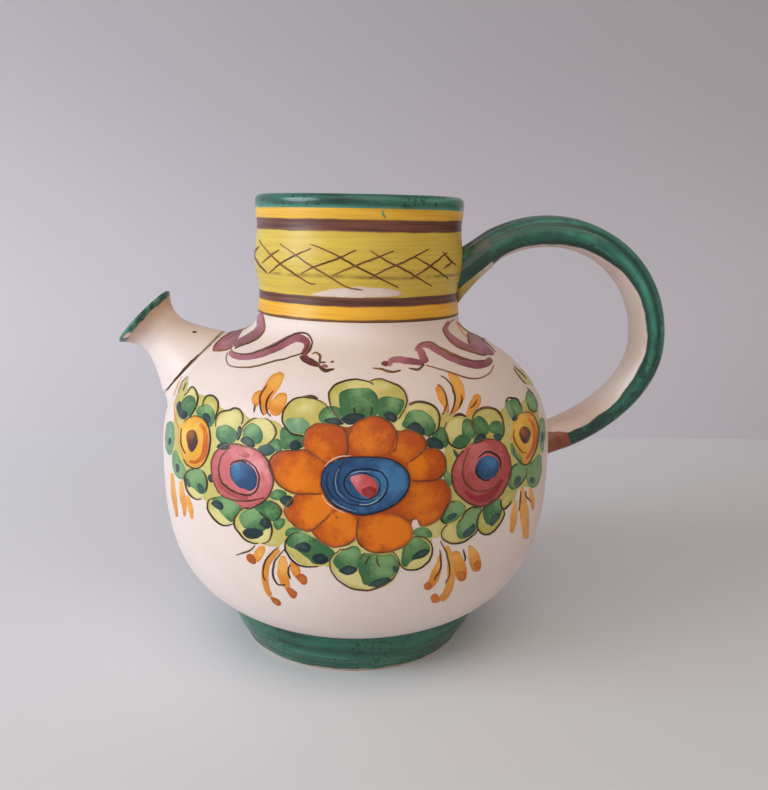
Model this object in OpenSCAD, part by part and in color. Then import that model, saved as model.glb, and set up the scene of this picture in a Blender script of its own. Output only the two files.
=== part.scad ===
// A spouted table jug in glazed earthenware: a thrown globe on a foot ring, an open collar neck
// with a rounded rim, a trumpet spout bedded on the shoulder, and a ribbed strap handle.
// Millimetres and degrees. The jug's axis is Z and the table is the plane Z = 0.
// The spout points to -X and the handle to +X.

/* [Belly] */
// Largest radius of the belly
belly_r = 83.3; // [74:0.1:92]
// Height of the lowest point of the belly's curve above the table
belly_lift = 10; // [8:0.1:13]
// Height of the belly's lower curve, up to its widest circle
belly_low_h = 74; // [66:0.1:84]
// Fullness of the lower curve, where 2 is an ellipse
belly_low_power = 3; // [2.7:0.05:3.3]
// Height of the belly's upper curve, above its widest circle
belly_top_h = 55.8; // [50:0.1:64]
// Fullness of the upper curve, where 2 is an ellipse
belly_top_power = 2.4; // [2.2:0.05:2.8]
// Thickness of the belly wall
belly_wall = 6; // [4:0.1:8]
// Height of the flat underside above the lowest point of the curve
base_cut = 3.2; // [2:0.1:5]
// Thickness of the floor
floor_t = 7; // [5:0.1:10]

/* [Neck] */
// Outer radius of the neck at the incised shoulder line
neck_r = 42.65; // [37:0.05:47]
// Thickness of the neck wall
neck_wall = 5.6; // [4:0.1:7]
// Width of the cove that draws the shoulder up into the neck
cove_w = 13; // [10:0.1:17]
// Height of the cove
cove_h = 11.9; // [9:0.1:15]
// Height of the collar, from the shoulder line to the rim
neck_h = 42.35; // [36:0.05:52]
// How far the collar draws in above the shoulder line
neck_waist = 0.65; // [0:0.05:1.5]
// How far the collar swells at its wide band
neck_swell = 1.1; // [0:0.05:3]
// How far the collar flares under the rim
neck_flare = 0.6; // [0:0.05:2]

/* [Rim] */
// Height of the rim bead
rim_h = 5.4; // [4:0.1:8]
// How far the bead stands out from the collar's top
rim_proud = 0.15; // [0.1:0.05:1.2]
// Radius of the bead's upper edges
rim_round = 2.5; // [1:0.1:2.5]

/* [Foot] */
// Radius of the foot at the table
foot_r = 48.95; // [44:0.05:54]
// Radius at which the foot runs into the belly
foot_top_r = 56; // [52:0.1:60]
// How far the foot's flank swells between its edges
foot_bulge = 1.2; // [0:0.1:2.5]
// Inner radius of the foot ring
foot_in_r = 40; // [36:0.1:43]
// Radius of the foot's lower outer edge
foot_edge = 1.8; // [0.8:0.1:3]
// Height of the turned groove above the table
foot_groove_z = 4.6; // [3.8:0.1:6]
// Depth of the turned groove
foot_groove = 0.3; // [0.1:0.05:0.6]

/* [Spout] */
// Height of the middle of the spout's seam, as a share of the belly's upper curve
spout_rise_share = 0.6165; // [0.54:0.0005:0.68]
// How far the spout is tilted up from the way the belly faces there
spout_lean = 0.25; // [-3:0.05:3]
// How far the middle of the seam lies inside the belly's curve
seam_sink = 0.5; // [0:0.1:0.8]
// Radius of the spout at the seam
spout_base_r = 18.6; // [16:0.1:21]
// Radius of the spout at its waist
spout_waist_r = 10.1; // [9:0.1:12]
// Distance of the waist from the seam
spout_waist_s = 17.3; // [14:0.1:20]
// Radius of the flared lip
spout_lip_r = 16.2; // [14:0.1:19]
// Length of the spout from the seam to the lip
spout_len = 28.9; // [26:0.1:36]
// Thickness of the spout wall
spout_wall = 3.8; // [2.8:0.1:4.5]
// Thickness of the lip's edge
spout_lip_t = 2; // [1.4:0.1:3]
// Depth of the clay collar that beds the spout on the shoulder
seat_h = 11; // [9:0.1:13]
// Spread of that collar at its full depth
seat_flare = 9.2; // [6:0.1:11]

/* [Handle] */
// Thickness of the strap
strap_t = 12.6; // [10:0.1:15]
// Width of the strap at the neck
strap_top_w = 23; // [18:0.1:28]
// Width of the strap at the belly
strap_low_w = 20; // [16:0.1:26]
// Height of the strap's upper root above the shoulder line
strap_top_z = 18.6; // [16:0.1:22]
// Height of the strap's lower root above the belly's widest circle
strap_low_z = 2.6; // [-4:0.1:8]
// Distance of the strap's outermost middle from the jug's axis
strap_reach = 125.2; // [116:0.1:136]
// Height of that outermost point above the belly's widest circle
strap_reach_z = 46.5; // [40:0.1:52]
// Angle at which the strap rises from the neck
strap_top_angle = 46; // [38:1:54]
// Angle at which the strap comes down to the belly
strap_low_angle = 18; // [8:1:28]
// Height of the finger ribs on the strap's outer face
rib_h = 0.45; // [0:0.05:0.8]
// Number of finger ribs
rib_count = 3; // [1:1:4]
// Depth of the clay wad under the strap, at the neck
wad_depth = 3.5; // [2:0.1:6]

/* [Hidden] */

$fn = 240;
// Length by which a cut runs past the face that it opens
overrun = 2;
// Thickness of the slip between two curved faces that are luted together
slip_gap = 0.1;
// Thickness to which the wad is smeared out at its edges
feather_t = 0.4;
// Step between the port in the belly wall and the wider bore of the spout's seat
port_step = 0.6;

// Steps along each curve, and sides of the strap's section that the wad leaves free at each edge
low_steps = 18;
top_steps = 14;
cove_steps = 8;
neck_steps = 24;
edge_steps = 6;
foot_steps = 8;
spout_steps = 14;
strap_steps = 15;
strap_sides = 36;
wad_steps = 6;
wad_edge_sides = 3;
seek_steps = 26;

// Heights on the neck where it is drawn in, swells and is tucked in again, as shares of its height
waist_share = 0.18;
swell_share = 0.5;
tuck_share = 0.84;
// Reach of the cove's two end tangents, as shares of its width and height
cove_low_share = 0.42;
cove_top_share = 0.6;
// Reach of the strap's tangents, as shares of the straight line between its fixed points
strap_pull_shares = [0.53, 0.45, 0.34, 0.34];
// Where the plain strap starts and ends, as shares of its upper and lower curves
root_shares = [0.13, 0.9];
// Radii of the rings that cover the strap's ends, as shares of its section
cap_shares = [0.34, 0.67];
// Reach of the wad along the underside between the neck and the plain strap
wad_share = 0.8;
// Fullness of the strap's section, where 2 is an ellipse
strap_power = 2.6;
// Powers of the spout's curves below and above its waist
spout_low_power = 1.35;
spout_lip_power = 2.4;

belly_z = belly_lift + belly_low_h;
base_z = belly_lift + base_cut;
floor_z = base_z + floor_t;
cove_r = neck_r + cove_w;
cove_z = belly_z + curve_reach(belly_top_h, belly_r, belly_top_power, cove_r);
neck_z = cove_z + cove_h;
rim_z = neck_z + neck_h;
neck_in_r = neck_r - neck_wall;
neck_top_r = neck_r + neck_flare;
rim_r = neck_top_r + rim_proud;
spout_base_in_r = spout_base_r - spout_wall;
spout_throat_r = spout_waist_r - spout_wall;
port_r = spout_base_in_r - port_step;
seam_z = belly_z + spout_rise_share * belly_top_h;
seam_x = seam_sink - belly_out_r(seam_z);
spout_tilt = spout_lean - atan(belly_slope(seam_z));

// A superellipse of half-axes a and b: the half-width along a at the distance s along b
function curve_reach(a, b, power, s) = a * pow(max(0, 1 - pow(abs(s) / b, power)), 1 / power);

// The point of that superellipse at an angle from the axis a
function curve_point(a, b, power, angle) =
    [a * pow(cos(angle), 2 / power), b * pow(sin(angle), 2 / power)];

// The angle at which the same curve reaches the distance s along b
function curve_angle(b, power, s) = asin(pow(s / b, power / 2));

// Points of the belly's lower half from the height z_end up to the widest circle
function low_curve(r, h, z_end) =
    let (end = curve_angle(h, belly_low_power, belly_z - z_end))
    [for (i = [low_steps:-1:0])
        let (p = curve_point(r, h, belly_low_power, end * i / low_steps)) [p[0], belly_z - p[1]]];

// Points of the belly's upper half from just above the widest circle up to the height z_end
function top_curve(r, h, z_end) =
    let (end = curve_angle(h, belly_top_power, z_end - belly_z))
    [for (i = [1:top_steps])
        let (p = curve_point(r, h, belly_top_power, end * i / top_steps)) [p[0], belly_z + p[1]]];

// Outer radius of the belly at a height, leaving out the cove
function belly_out_r(z) =
    z < belly_z ? curve_reach(belly_r, belly_low_h, belly_low_power, belly_z - z)
                : curve_reach(belly_r, belly_top_h, belly_top_power, z - belly_z);

// Change of that radius with the height, on the upper curve
function belly_slope(z) =
    let (s = pow((z - belly_z) / belly_top_h, belly_top_power))
    -belly_r / belly_top_h * pow(s / (1 - s), 1 - 1 / belly_top_power);

function bezier(a, b, c, d, t) =
    pow(1 - t, 3) * a + 3 * pow(1 - t, 2) * t * b + 3 * (1 - t) * t * t * c + pow(t, 3) * d;

function bezier_way(a, b, c, d, t) =
    let (v = pow(1 - t, 2) * (b - a) + 2 * (1 - t) * t * (c - b) + t * t * (d - c)) v / norm(v);

function arc(middle, r, from, to) =
    [for (i = [0:edge_steps])
        let (angle = from + (to - from) * i / edge_steps) middle + r * [cos(angle), sin(angle)]];

function backwards(list) = [for (i = [len(list) - 1:-1:0]) list[i]];

// The cove from the shoulder, which it leaves along the belly's own slope, to the upright neck
cove_slope = belly_slope(cove_z);
cove_start = [cove_r, cove_z];
cove_end = [neck_r, neck_z];
cove_curve = [for (i = [1:cove_steps])
    bezier(cove_start, cove_start + cove_low_share * cove_w * [cove_slope, 1] / norm([cove_slope, 1]),
           cove_end - [0, cove_top_share * cove_h], cove_end, i / cove_steps)];

outer_curve = concat(low_curve(belly_r, belly_low_h, base_z), top_curve(belly_r, belly_top_h, cove_z),
                     cove_curve);

inner_top_z = belly_z + curve_reach(belly_top_h - belly_wall, belly_r - belly_wall, belly_top_power,
                                    neck_in_r);
inner_curve = concat([[0, floor_z]], low_curve(belly_r - belly_wall, belly_low_h - belly_wall, floor_z),
                     top_curve(belly_r - belly_wall, belly_top_h - belly_wall, inner_top_z),
                     [[neck_in_r, neck_z]]);

// Offset of the collar's outside from neck_r at a share of its height, eased between its knots
neck_knots = [[0, 0], [waist_share, -neck_waist], [swell_share, neck_swell], [tuck_share, 0],
              [1, neck_flare]];
function eased(knots, s, i = 0) =
    s > knots[i + 1][0] && i < len(knots) - 2 ? eased(knots, s, i + 1)
    : let (t = (s - knots[i][0]) / (knots[i + 1][0] - knots[i][0]))
      knots[i][1] + (knots[i + 1][1] - knots[i][1]) * (1 - cos(180 * t)) / 2;
function neck_out_r(z) = neck_r + eased(neck_knots, (z - neck_z) / neck_h);

// Outer radius of the foot's flank at a height
foot_top_z = belly_z - curve_reach(belly_low_h, belly_r, belly_low_power, foot_top_r);
function foot_out_r(z) =
    let (share = (z - foot_edge) / (foot_top_z - foot_edge))
    foot_r + (foot_top_r - foot_r) * share + foot_bulge * sin(180 * share);

// Radius of the spout at the distance s from its seam, for the outside or the bore
function spout_radius(base, waist, lip, s) =
    s < spout_waist_s ? waist + (base - waist) * pow(1 - s / spout_waist_s, spout_low_power)
    : waist + (lip - waist) * pow((s - spout_waist_s) / (spout_len - spout_waist_s), spout_lip_power);

// Middle line of the strap: from the neck up to the outermost point, then down to the belly
strap_top = [neck_out_r(neck_z + strap_top_z), neck_z + strap_top_z];
strap_out = [strap_reach, belly_z + strap_reach_z];
strap_low = [belly_out_r(belly_z + strap_low_z), belly_z + strap_low_z];
upper_span = norm(strap_out - strap_top);
lower_span = norm(strap_low - strap_out);
upper_line = [strap_top,
              strap_top + strap_pull_shares[0] * upper_span * [cos(strap_top_angle), sin(strap_top_angle)],
              strap_out + strap_pull_shares[1] * upper_span * [0, 1],
              strap_out];
lower_line = [strap_out,
              strap_out - strap_pull_shares[2] * lower_span * [0, 1],
              strap_low + strap_pull_shares[3] * lower_span * [cos(strap_low_angle), sin(strap_low_angle)],
              strap_low];

function line_point(line, t) = bezier(line[0], line[1], line[2], line[3], t);
function line_way(line, t) = bezier_way(line[0], line[1], line[2], line[3], t);
function rounded(v) = sign(v) * pow(abs(v), 2 / strap_power);

// One point of the strap's section: its offset across the strap and its offset along Y
function section_point(k, width) =
    let (angle = 360 * k / strap_sides, across = rounded(sin(angle)), along = rounded(cos(angle)))
    [strap_t / 2 * across + rib_h * max(0, across) * cos(180 * rib_count * along), width / 2 * along];

// A ring of section points about a point of the middle line, shrunk by a share
function ring(middle, way, width, share = 1) =
    [for (k = [0:strap_sides - 1])
        let (p = share * section_point(k, width))
        [middle[0] - p[0] * way[1], p[1], middle[1] + p[0] * way[0]]];

// How far a point lies outside the neck, or outside the belly
function outside(p, on_neck) =
    norm([p[0], p[1]]) - slip_gap - (on_neck ? neck_out_r(p[2]) : belly_out_r(p[2]));

// A point slid along a way that leads outwards, until it lies on the neck or the belly
function slid(p, way, low, high, on_neck, n = 0) =
    let (mid = (low + high) / 2, q = p + mid * [way[0], 0, way[1]])
    n == seek_steps ? q
    : outside(q, on_neck) > 0 ? slid(p, way, low, mid, on_neck, n + 1)
    : slid(p, way, mid, high, on_neck, n + 1);

function seated(points, way, on_neck) =
    [for (p = points) slid(p, way, -2 * strap_t, 2 * strap_t, on_neck)];

top_way = line_way(upper_line, 0);
low_way = -line_way(lower_line, 1);
top_caps = [for (share = cap_shares) seated(ring(strap_top, top_way, strap_top_w, share), top_way, true)];
top_root = seated(ring(strap_top, top_way, strap_top_w), top_way, true);
low_root = seated(ring(strap_low, -low_way, strap_low_w), low_way, false);
low_caps = [for (share = cap_shares) seated(ring(strap_low, -low_way, strap_low_w, share), low_way, false)];
upper_rings = [for (i = [0:strap_steps])
    let (t = root_shares[0] + (1 - root_shares[0]) * i / strap_steps)
    ring(line_point(upper_line, t), line_way(upper_line, t),
         strap_top_w + (strap_low_w - strap_top_w) * t / 2)];
lower_rings = [for (i = [1:strap_steps])
    let (t = root_shares[1] * i / strap_steps)
    ring(line_point(lower_line, t), line_way(lower_line, t),
         strap_top_w + (strap_low_w - strap_top_w) * (1 + t) / 2)];
strap_rings = concat(top_caps, [top_root], upper_rings, lower_rings, [low_root], backwards(low_caps));

// Triangles between neighbouring rows of a grid of points with n in each row
function grid_faces(rows, n, closed) =
    [for (i = [0:rows - 2], k = [0:n - (closed ? 1 : 2)], half = [0, 1])
        let (a = i * n + k, b = i * n + (k + 1) % n)
        half == 0 ? [a, b, b + n] : [a, b + n, a + n]];

function flat(lists) = [for (list = lists, p = list) p];

module on_spout() {
    translate([seam_x, 0, seam_z]) rotate([0, spout_tilt - 90, 0]) children();
}

// The belly and its cove without any hollow, which the pieces luted to it are cut to fit
module globe_envelope() {
    rotate_extrude() polygon(concat([[0, base_z]], outer_curve, [[0, neck_z]]));
}

module body_globe() {
    color("linen") difference() {
        rotate_extrude() polygon(concat([[0, base_z]], outer_curve, backwards(inner_curve)));
        on_spout() translate([0, 0, -3 * belly_wall]) cylinder(r = port_r, h = 4 * belly_wall);
    }
}

module foot_ring() {
    flank = [for (i = [1:foot_steps])
        let (z = foot_edge + (foot_top_z - foot_edge) * i / foot_steps) [foot_out_r(z), z]];
    groove_r = foot_out_r(foot_groove_z);
    color("seagreen") difference() {
        rotate_extrude() polygon(concat(
            [[foot_in_r, 0]],
            arc([foot_r - foot_edge, foot_edge], foot_edge, -90, 0),
            flank,
            [[foot_top_r, foot_top_z + overrun], [foot_in_r, foot_top_z + overrun]]));
        rotate_extrude() polygon([
            [groove_r - foot_groove, foot_groove_z],
            [groove_r + overrun, foot_groove_z - foot_groove - overrun],
            [groove_r + overrun, foot_groove_z + foot_groove + overrun]]);
        globe_envelope();
    }
}

module neck_collar() {
    outside = [for (i = [0:neck_steps])
        let (z = neck_z + neck_h * i / neck_steps) [neck_out_r(z), z]];
    color("khaki") rotate_extrude()
        polygon(concat(outside, [[neck_in_r, rim_z], [neck_in_r, neck_z]]));
}

module rim_coil() {
    shoulder_z = rim_z + rim_h - rim_round;
    color("seagreen") rotate_extrude() polygon(concat(
        [[neck_in_r, rim_z], [neck_top_r, rim_z], [rim_r, rim_z + rim_proud]],
        arc([rim_r - rim_round, shoulder_z], rim_round, 0, 90),
        arc([neck_in_r + rim_round, shoulder_z], rim_round, 90, 180)));
}

module spout_seat() {
    color("linen") difference() {
        on_spout() rotate_extrude() polygon([
            [spout_base_in_r, -seat_h],
            [spout_base_r + seat_flare, -seat_h],
            [spout_base_r, 0],
            [spout_base_in_r, 0]]);
        globe_envelope();
    }
}

module spout_tube() {
    edge_s = spout_len - spout_lip_t / 2;
    lip_in_r = spout_lip_r - spout_lip_t;
    outside = [for (i = [0:2 * spout_steps])
        let (s = edge_s * i / (2 * spout_steps))
        [spout_radius(spout_base_r, spout_waist_r, spout_lip_r, s), s]];
    bore = [for (i = [0:2 * spout_steps])
        let (s = edge_s * i / (2 * spout_steps))
        [spout_radius(spout_base_in_r, spout_throat_r, lip_in_r, s), s]];
    lip_out = outside[2 * spout_steps];
    lip_in = bore[2 * spout_steps];
    lip_middle = (lip_out + lip_in) / 2;
    lip_edge = arc(lip_middle, norm(lip_out - lip_in) / 2, 0, 180);
    color("linen") on_spout() rotate_extrude() polygon(concat(outside, lip_edge, backwards(bore)));
}

module handle_strap() {
    count = len(strap_rings);
    last = (count - 1) * strap_sides;
    top_middle = slid([strap_top[0], 0, strap_top[1]], top_way, -2 * strap_t, 2 * strap_t, true);
    low_middle = slid([strap_low[0], 0, strap_low[1]], low_way, -2 * strap_t, 2 * strap_t, false);
    points = concat(flat(strap_rings), [top_middle, low_middle]);
    ends = [for (k = [0:strap_sides - 1], end = [0, 1])
        let (next = (k + 1) % strap_sides)
        end == 0 ? [count * strap_sides, next, k]
                 : [count * strap_sides + 1, last + k, last + next]];
    color("seagreen") polyhedron(points, concat(grid_faces(count, strap_sides, true), ends));
}

module handle_top_wad() {
    // Section points on the strap's underside, from one side to the other
    first = strap_sides / 2 + wad_edge_sides;
    last = strap_sides - wad_edge_sides;
    columns = last - first + 1;
    away = slip_gap * [top_way[1], 0, -top_way[0]];
    under = [for (i = [0:wad_steps])
        let (t = wad_share * i / wad_steps)
        [for (k = [first:last]) (1 - t) * top_root[k] + t * upper_rings[0][k] + away]];
    free = [for (i = [0:wad_steps])
        let (fade = pow(1 - i / wad_steps, 2))
        [for (k = [0:columns - 1])
            let (side = 2 * k / (columns - 1) - 1, p = under[i][k],
                 z = p[2] - feather_t - wad_depth * fade * (1 - side * side),
                 x = sqrt(pow(neck_out_r(z) + slip_gap, 2) - p[1] * p[1]))
            [i == 0 ? x : p[0], p[1], z]]];
    rows = wad_steps + 1;
    size = rows * columns;
    shell = grid_faces(rows, columns, false);
    rim = concat([for (k = [0:columns - 1]) k],
                 [for (i = [1:rows - 1]) (i + 1) * columns - 1],
                 [for (k = [columns - 2:-1:0]) (rows - 1) * columns + k],
                 [for (i = [rows - 2:-1:1]) i * columns]);
    sides = [for (i = [0:len(rim) - 1], half = [0, 1])
        let (a = rim[i], b = rim[(i + 1) % len(rim)])
        half == 0 ? [a, a + size, b + size] : [a, b + size, b]];
    color("khaki") polyhedron(
        concat(flat(under), flat(free)),
        concat(shell, [for (f = shell) [f[2] + size, f[1] + size, f[0] + size]], sides));
}

body_globe();
foot_ring();
neck_collar();
rim_coil();
spout_seat();
spout_tube();
handle_strap();
handle_top_wad();
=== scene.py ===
"""A spouted folk jug in glazed earthenware, built over its CAD frame, with its hand-painted garland laid on
as listed marks.

Lengths are in millimetres and are turned into metres when a mesh is finished. Painted marks are given
in pixels of the 768 x 790 photograph and laid on the jug along the photograph's own lines of sight.
"""

import logging
import math
from abc import ABC, abstractmethod
from collections.abc import Callable, Iterable, Sequence
from dataclasses import dataclass, field
from enum import Enum
from functools import cached_property
from typing import ClassVar

import bmesh
import bpy
from mathutils import Matrix, Vector, noise
from mathutils.bvhtree import BVHTree


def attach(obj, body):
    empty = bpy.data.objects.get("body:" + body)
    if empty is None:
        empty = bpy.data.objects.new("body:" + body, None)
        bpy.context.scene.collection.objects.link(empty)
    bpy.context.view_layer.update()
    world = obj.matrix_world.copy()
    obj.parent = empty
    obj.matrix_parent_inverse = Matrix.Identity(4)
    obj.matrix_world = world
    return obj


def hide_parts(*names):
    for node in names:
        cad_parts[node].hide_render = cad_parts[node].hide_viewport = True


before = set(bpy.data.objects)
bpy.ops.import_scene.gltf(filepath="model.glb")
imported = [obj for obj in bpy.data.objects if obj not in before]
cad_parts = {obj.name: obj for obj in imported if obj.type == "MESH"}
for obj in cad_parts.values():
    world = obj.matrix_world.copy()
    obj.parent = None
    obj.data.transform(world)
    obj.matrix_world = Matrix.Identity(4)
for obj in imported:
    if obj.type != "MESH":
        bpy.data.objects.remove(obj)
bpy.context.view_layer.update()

LOG = logging.getLogger("jug")
MM = 0.001
Point = tuple[float, float]
Point3 = tuple[float, float, float]
Colour = tuple[float, float, float]
Socket = bpy.types.NodeSocket
Node = bpy.types.Node
Mesh = bmesh.types.BMesh
Piece = bpy.types.Object
Wall = Callable[[float], float]
HAND_SEED = 7


class Slot(Enum):
    """The material slots."""

    WHITE = "white_glaze"
    GREEN = "green_glaze"
    YELLOW = "yellow_glaze"


@dataclass(frozen=True)
class PhotoCamera:
    """The camera that took the photograph, found from the jug's own circles and outline."""

    width: int = 768
    height: int = 790
    focal: float = 829.5
    place: Point3 = (0.0, -355.7, 179.9)
    pitch: float = 11.91
    yaw: float = 1.86
    roll: float = 1.06
    sensor: float = 36.0

    @cached_property
    def turn(self) -> Matrix:
        """The camera's rotation."""
        return (
            Matrix.Rotation(math.radians(-self.yaw), 3, "Z")
            @ Matrix.Rotation(math.radians(90 - self.pitch), 3, "X")
            @ Matrix.Rotation(math.radians(self.roll), 3, "Z")
        )

    def eye(self) -> Vector:
        """Returns the camera's place in metres."""
        return Vector(self.place) * MM

    def ray(self, pixel: Point) -> Vector:
        """Finds the line of sight of a pixel.

        Args:
            pixel: Column and row in the photograph.

        Returns:
            The unit direction from the camera.
        """
        across = (pixel[0] - self.width / 2) / self.focal
        down = (pixel[1] - self.height / 2) / self.focal
        return (self.turn @ Vector((across, -down, -1.0))).normalized()

    def build(self) -> None:
        """Makes this the scene's camera."""
        data = bpy.data.cameras.new("photo_camera")
        data.sensor_width = self.sensor
        data.lens = self.focal * self.sensor / max(self.width, self.height)
        data.clip_start, data.clip_end = 0.01, 20.0
        camera = bpy.data.objects.new("photo_camera", data)
        camera.matrix_world = Matrix.Translation(self.eye()) @ self.turn.to_4x4()
        bpy.context.scene.collection.objects.link(camera)
        bpy.context.scene.camera = camera


def eased(knots: Sequence[Point], share: float) -> float:
    """Reads a value between knots with a cosine ease.

    Args:
        knots: Pairs of a position and its value, in rising order.
        share: The position to read at.

    Returns:
        The eased value, held at the first and last knot.
    """
    if share <= knots[0][0]:
        return knots[0][1]
    for (low, first), (high, second) in zip(knots, knots[1:]):
        if share <= high:
            part = (share - low) / (high - low)
            return first + (second - first) * (1 - math.cos(math.pi * part)) / 2
    return knots[-1][1]


def arc(middle: Point, radius: float, start: float, end: float, steps: int = 10) -> list[Point]:
    """Returns points on an arc about a middle, from one angle in degrees to another."""
    angles = [math.radians(start + (end - start) * i / steps) for i in range(steps + 1)]
    return [(middle[0] + radius * math.cos(a), middle[1] + radius * math.sin(a)) for a in angles]


def bezier(points: Sequence[Vector], t: float) -> Vector:
    """Returns a point of a cubic curve."""
    a, b, c, d = points
    u = 1 - t
    return u * u * u * a + 3 * u * u * t * b + 3 * u * t * t * c + t * t * t * d


def bezier_way(points: Sequence[Vector], t: float) -> Vector:
    """Returns the unit direction of a cubic curve."""
    a, b, c, d = points
    u = 1 - t
    return (u * u * (b - a) + 2 * u * t * (c - b) + t * t * (d - c)).normalized()


def spun(outline: Sequence[Point], steps: int, closed: bool) -> Mesh:
    """Turns an outline about the Z axis.

    Args:
        outline: Radius and height of each point, in millimetres.
        steps: Number of steps of the turn.
        closed: Whether the outline's last point joins its first.

    Returns:
        The turned mesh, in millimetres.
    """
    bm = bmesh.new()
    chain = [bm.verts.new((r, 0.0, z)) for r, z in outline]
    edges = [bm.edges.new(pair) for pair in zip(chain, chain[1:])]
    if closed:
        edges.append(bm.edges.new((chain[-1], chain[0])))
    bmesh.ops.spin(
        bm, geom=chain + edges, cent=(0, 0, 0), axis=(0, 0, 1), angle=math.tau, steps=steps, use_merge=True
    )
    bmesh.ops.remove_doubles(bm, verts=bm.verts, dist=1e-4)
    return bm


def finished(name: str, bm: Mesh, crease: float = 50.0) -> Piece:
    """Turns a mesh in millimetres into a smooth object in metres.

    Args:
        name: The object's name.
        bm: The mesh, which is used up.
        crease: Angle in degrees above which an edge stays sharp.

    Returns:
        The object, at the origin.
    """
    bmesh.ops.scale(bm, vec=(MM, MM, MM), verts=bm.verts)
    bmesh.ops.recalc_face_normals(bm, faces=bm.faces)
    mesh = bpy.data.meshes.new(name)
    bm.to_mesh(mesh)
    bm.free()
    mesh.shade_smooth()
    mesh.set_sharp_from_angle(angle=math.radians(crease))
    made = bpy.data.objects.new(name, mesh)
    bpy.context.scene.collection.objects.link(made)
    return made


def place(piece: Piece, finish: "Finish", slot: Slot, *nodes: str) -> Piece:
    """Dresses a piece and lets it ride on the jug.

    Args:
        piece: The finished piece.
        finish: Its finish.
        slot: The material slot that the finish belongs to; not used.
        nodes: CAD nodes that the piece stands for.

    Returns:
        The piece.
    """
    piece.data.materials.append(finish.material())
    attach(piece, "root")
    if nodes:
        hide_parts(*nodes)
    return piece


class Wiring:
    """Adds nodes to one node tree and links them."""

    def __init__(self, tree: bpy.types.NodeTree) -> None:
        """Takes the tree to work on."""
        self.tree = tree

    def node(self, kind: str, **settings: object) -> Node:
        """Adds a node with its settings."""
        made = self.tree.nodes.new(kind)
        for key, value in settings.items():
            setattr(made, key, value)
        return made

    def feed(self, socket: Socket, value: object) -> None:
        """Links a socket into an input, or sets the input's own value."""
        if isinstance(value, Socket):
            self.tree.links.new(value, socket)
        elif isinstance(value, tuple) and len(value) == 3 and socket.type == "RGBA":
            socket.default_value = (*value, 1.0)
        else:
            socket.default_value = value

    def math(self, operation: str, first: object, second: object = 0.0) -> Socket:
        """Adds a sum of two values."""
        made = self.node("ShaderNodeMath", operation=operation)
        self.feed(made.inputs[0], first)
        self.feed(made.inputs[1], second)
        return made.outputs[0]

    def plus(self, first: object, second: object) -> Socket:
        """Adds one value to another."""
        return self.math("ADD", first, second)

    def less(self, first: object, second: object) -> Socket:
        """Takes one value from another."""
        return self.math("SUBTRACT", first, second)

    def times(self, first: object, second: object) -> Socket:
        """Multiplies two values."""
        return self.math("MULTIPLY", first, second)

    def gap(self, first: object, second: object) -> Socket:
        """Measures how far one value lies from another."""
        return self.math("ABSOLUTE", self.less(first, second))

    def waver(self, scale: float, reach: float) -> Socket:
        """Adds a slow drift to both sides of zero, for edges that a hand drew."""
        return self.times(self.less(self.noise(scale, 3.0), 0.5), reach)

    def ramp(
        self, value: object, low: float, high: float, first: float = 0.0, last: float = 1.0
    ) -> Socket:
        """Adds a smooth step of a value from one level to another."""
        made = self.node("ShaderNodeMapRange", interpolation_type="SMOOTHSTEP")
        for label, given in zip(
            ("Value", "From Min", "From Max", "To Min", "To Max"), (value, low, high, first, last)
        ):
            self.feed(made.inputs[label], given)
        return made.outputs["Result"]

    def blend(self, share: object, first: object, second: object) -> Socket:
        """Adds a mix of two colours."""
        made = self.node("ShaderNodeMix", data_type="RGBA")
        self.feed(made.inputs["Factor"], share)
        self.feed(made.inputs[6], first)
        self.feed(made.inputs[7], second)
        return made.outputs[2]

    def noise(
        self, scale: float, detail: float = 2.0, vector: object = None, warp: float = 0.0
    ) -> Socket:
        """Adds a noise texture on the object's coordinates or on a given vector."""
        made = self.node("ShaderNodeTexNoise")
        made.inputs["Scale"].default_value = scale
        made.inputs["Detail"].default_value = detail
        made.inputs["Distortion"].default_value = warp
        self.feed(made.inputs["Vector"], self.place() if vector is None else vector)
        return made.outputs["Fac"]

    def place(self) -> Socket:
        """Adds the object's coordinates, in metres."""
        return self.node("ShaderNodeTexCoord").outputs["Object"]

    def height(self) -> Socket:
        """Adds the height above the table, in millimetres."""
        split = self.node("ShaderNodeSeparateXYZ")
        self.feed(split.inputs[0], self.place())
        return self.times(split.outputs["Z"], 1 / MM)

    def stretched(self, x: float, y: float, z: float) -> Socket:
        """Adds the object's coordinates, stretched along each axis."""
        made = self.node("ShaderNodeMapping")
        self.feed(made.inputs["Vector"], self.place())
        made.inputs["Scale"].default_value = (x, y, z)
        return made.outputs["Vector"]

    def reading(self, name: str) -> Socket:
        """Adds a value that the mesh carries."""
        return self.node("ShaderNodeAttribute", attribute_name=name).outputs["Fac"]

    def group(self, name: str) -> Node:
        """Adds a shared node group."""
        made = self.node("ShaderNodeGroup")
        made.node_tree = bpy.data.node_groups[name]
        return made


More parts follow.
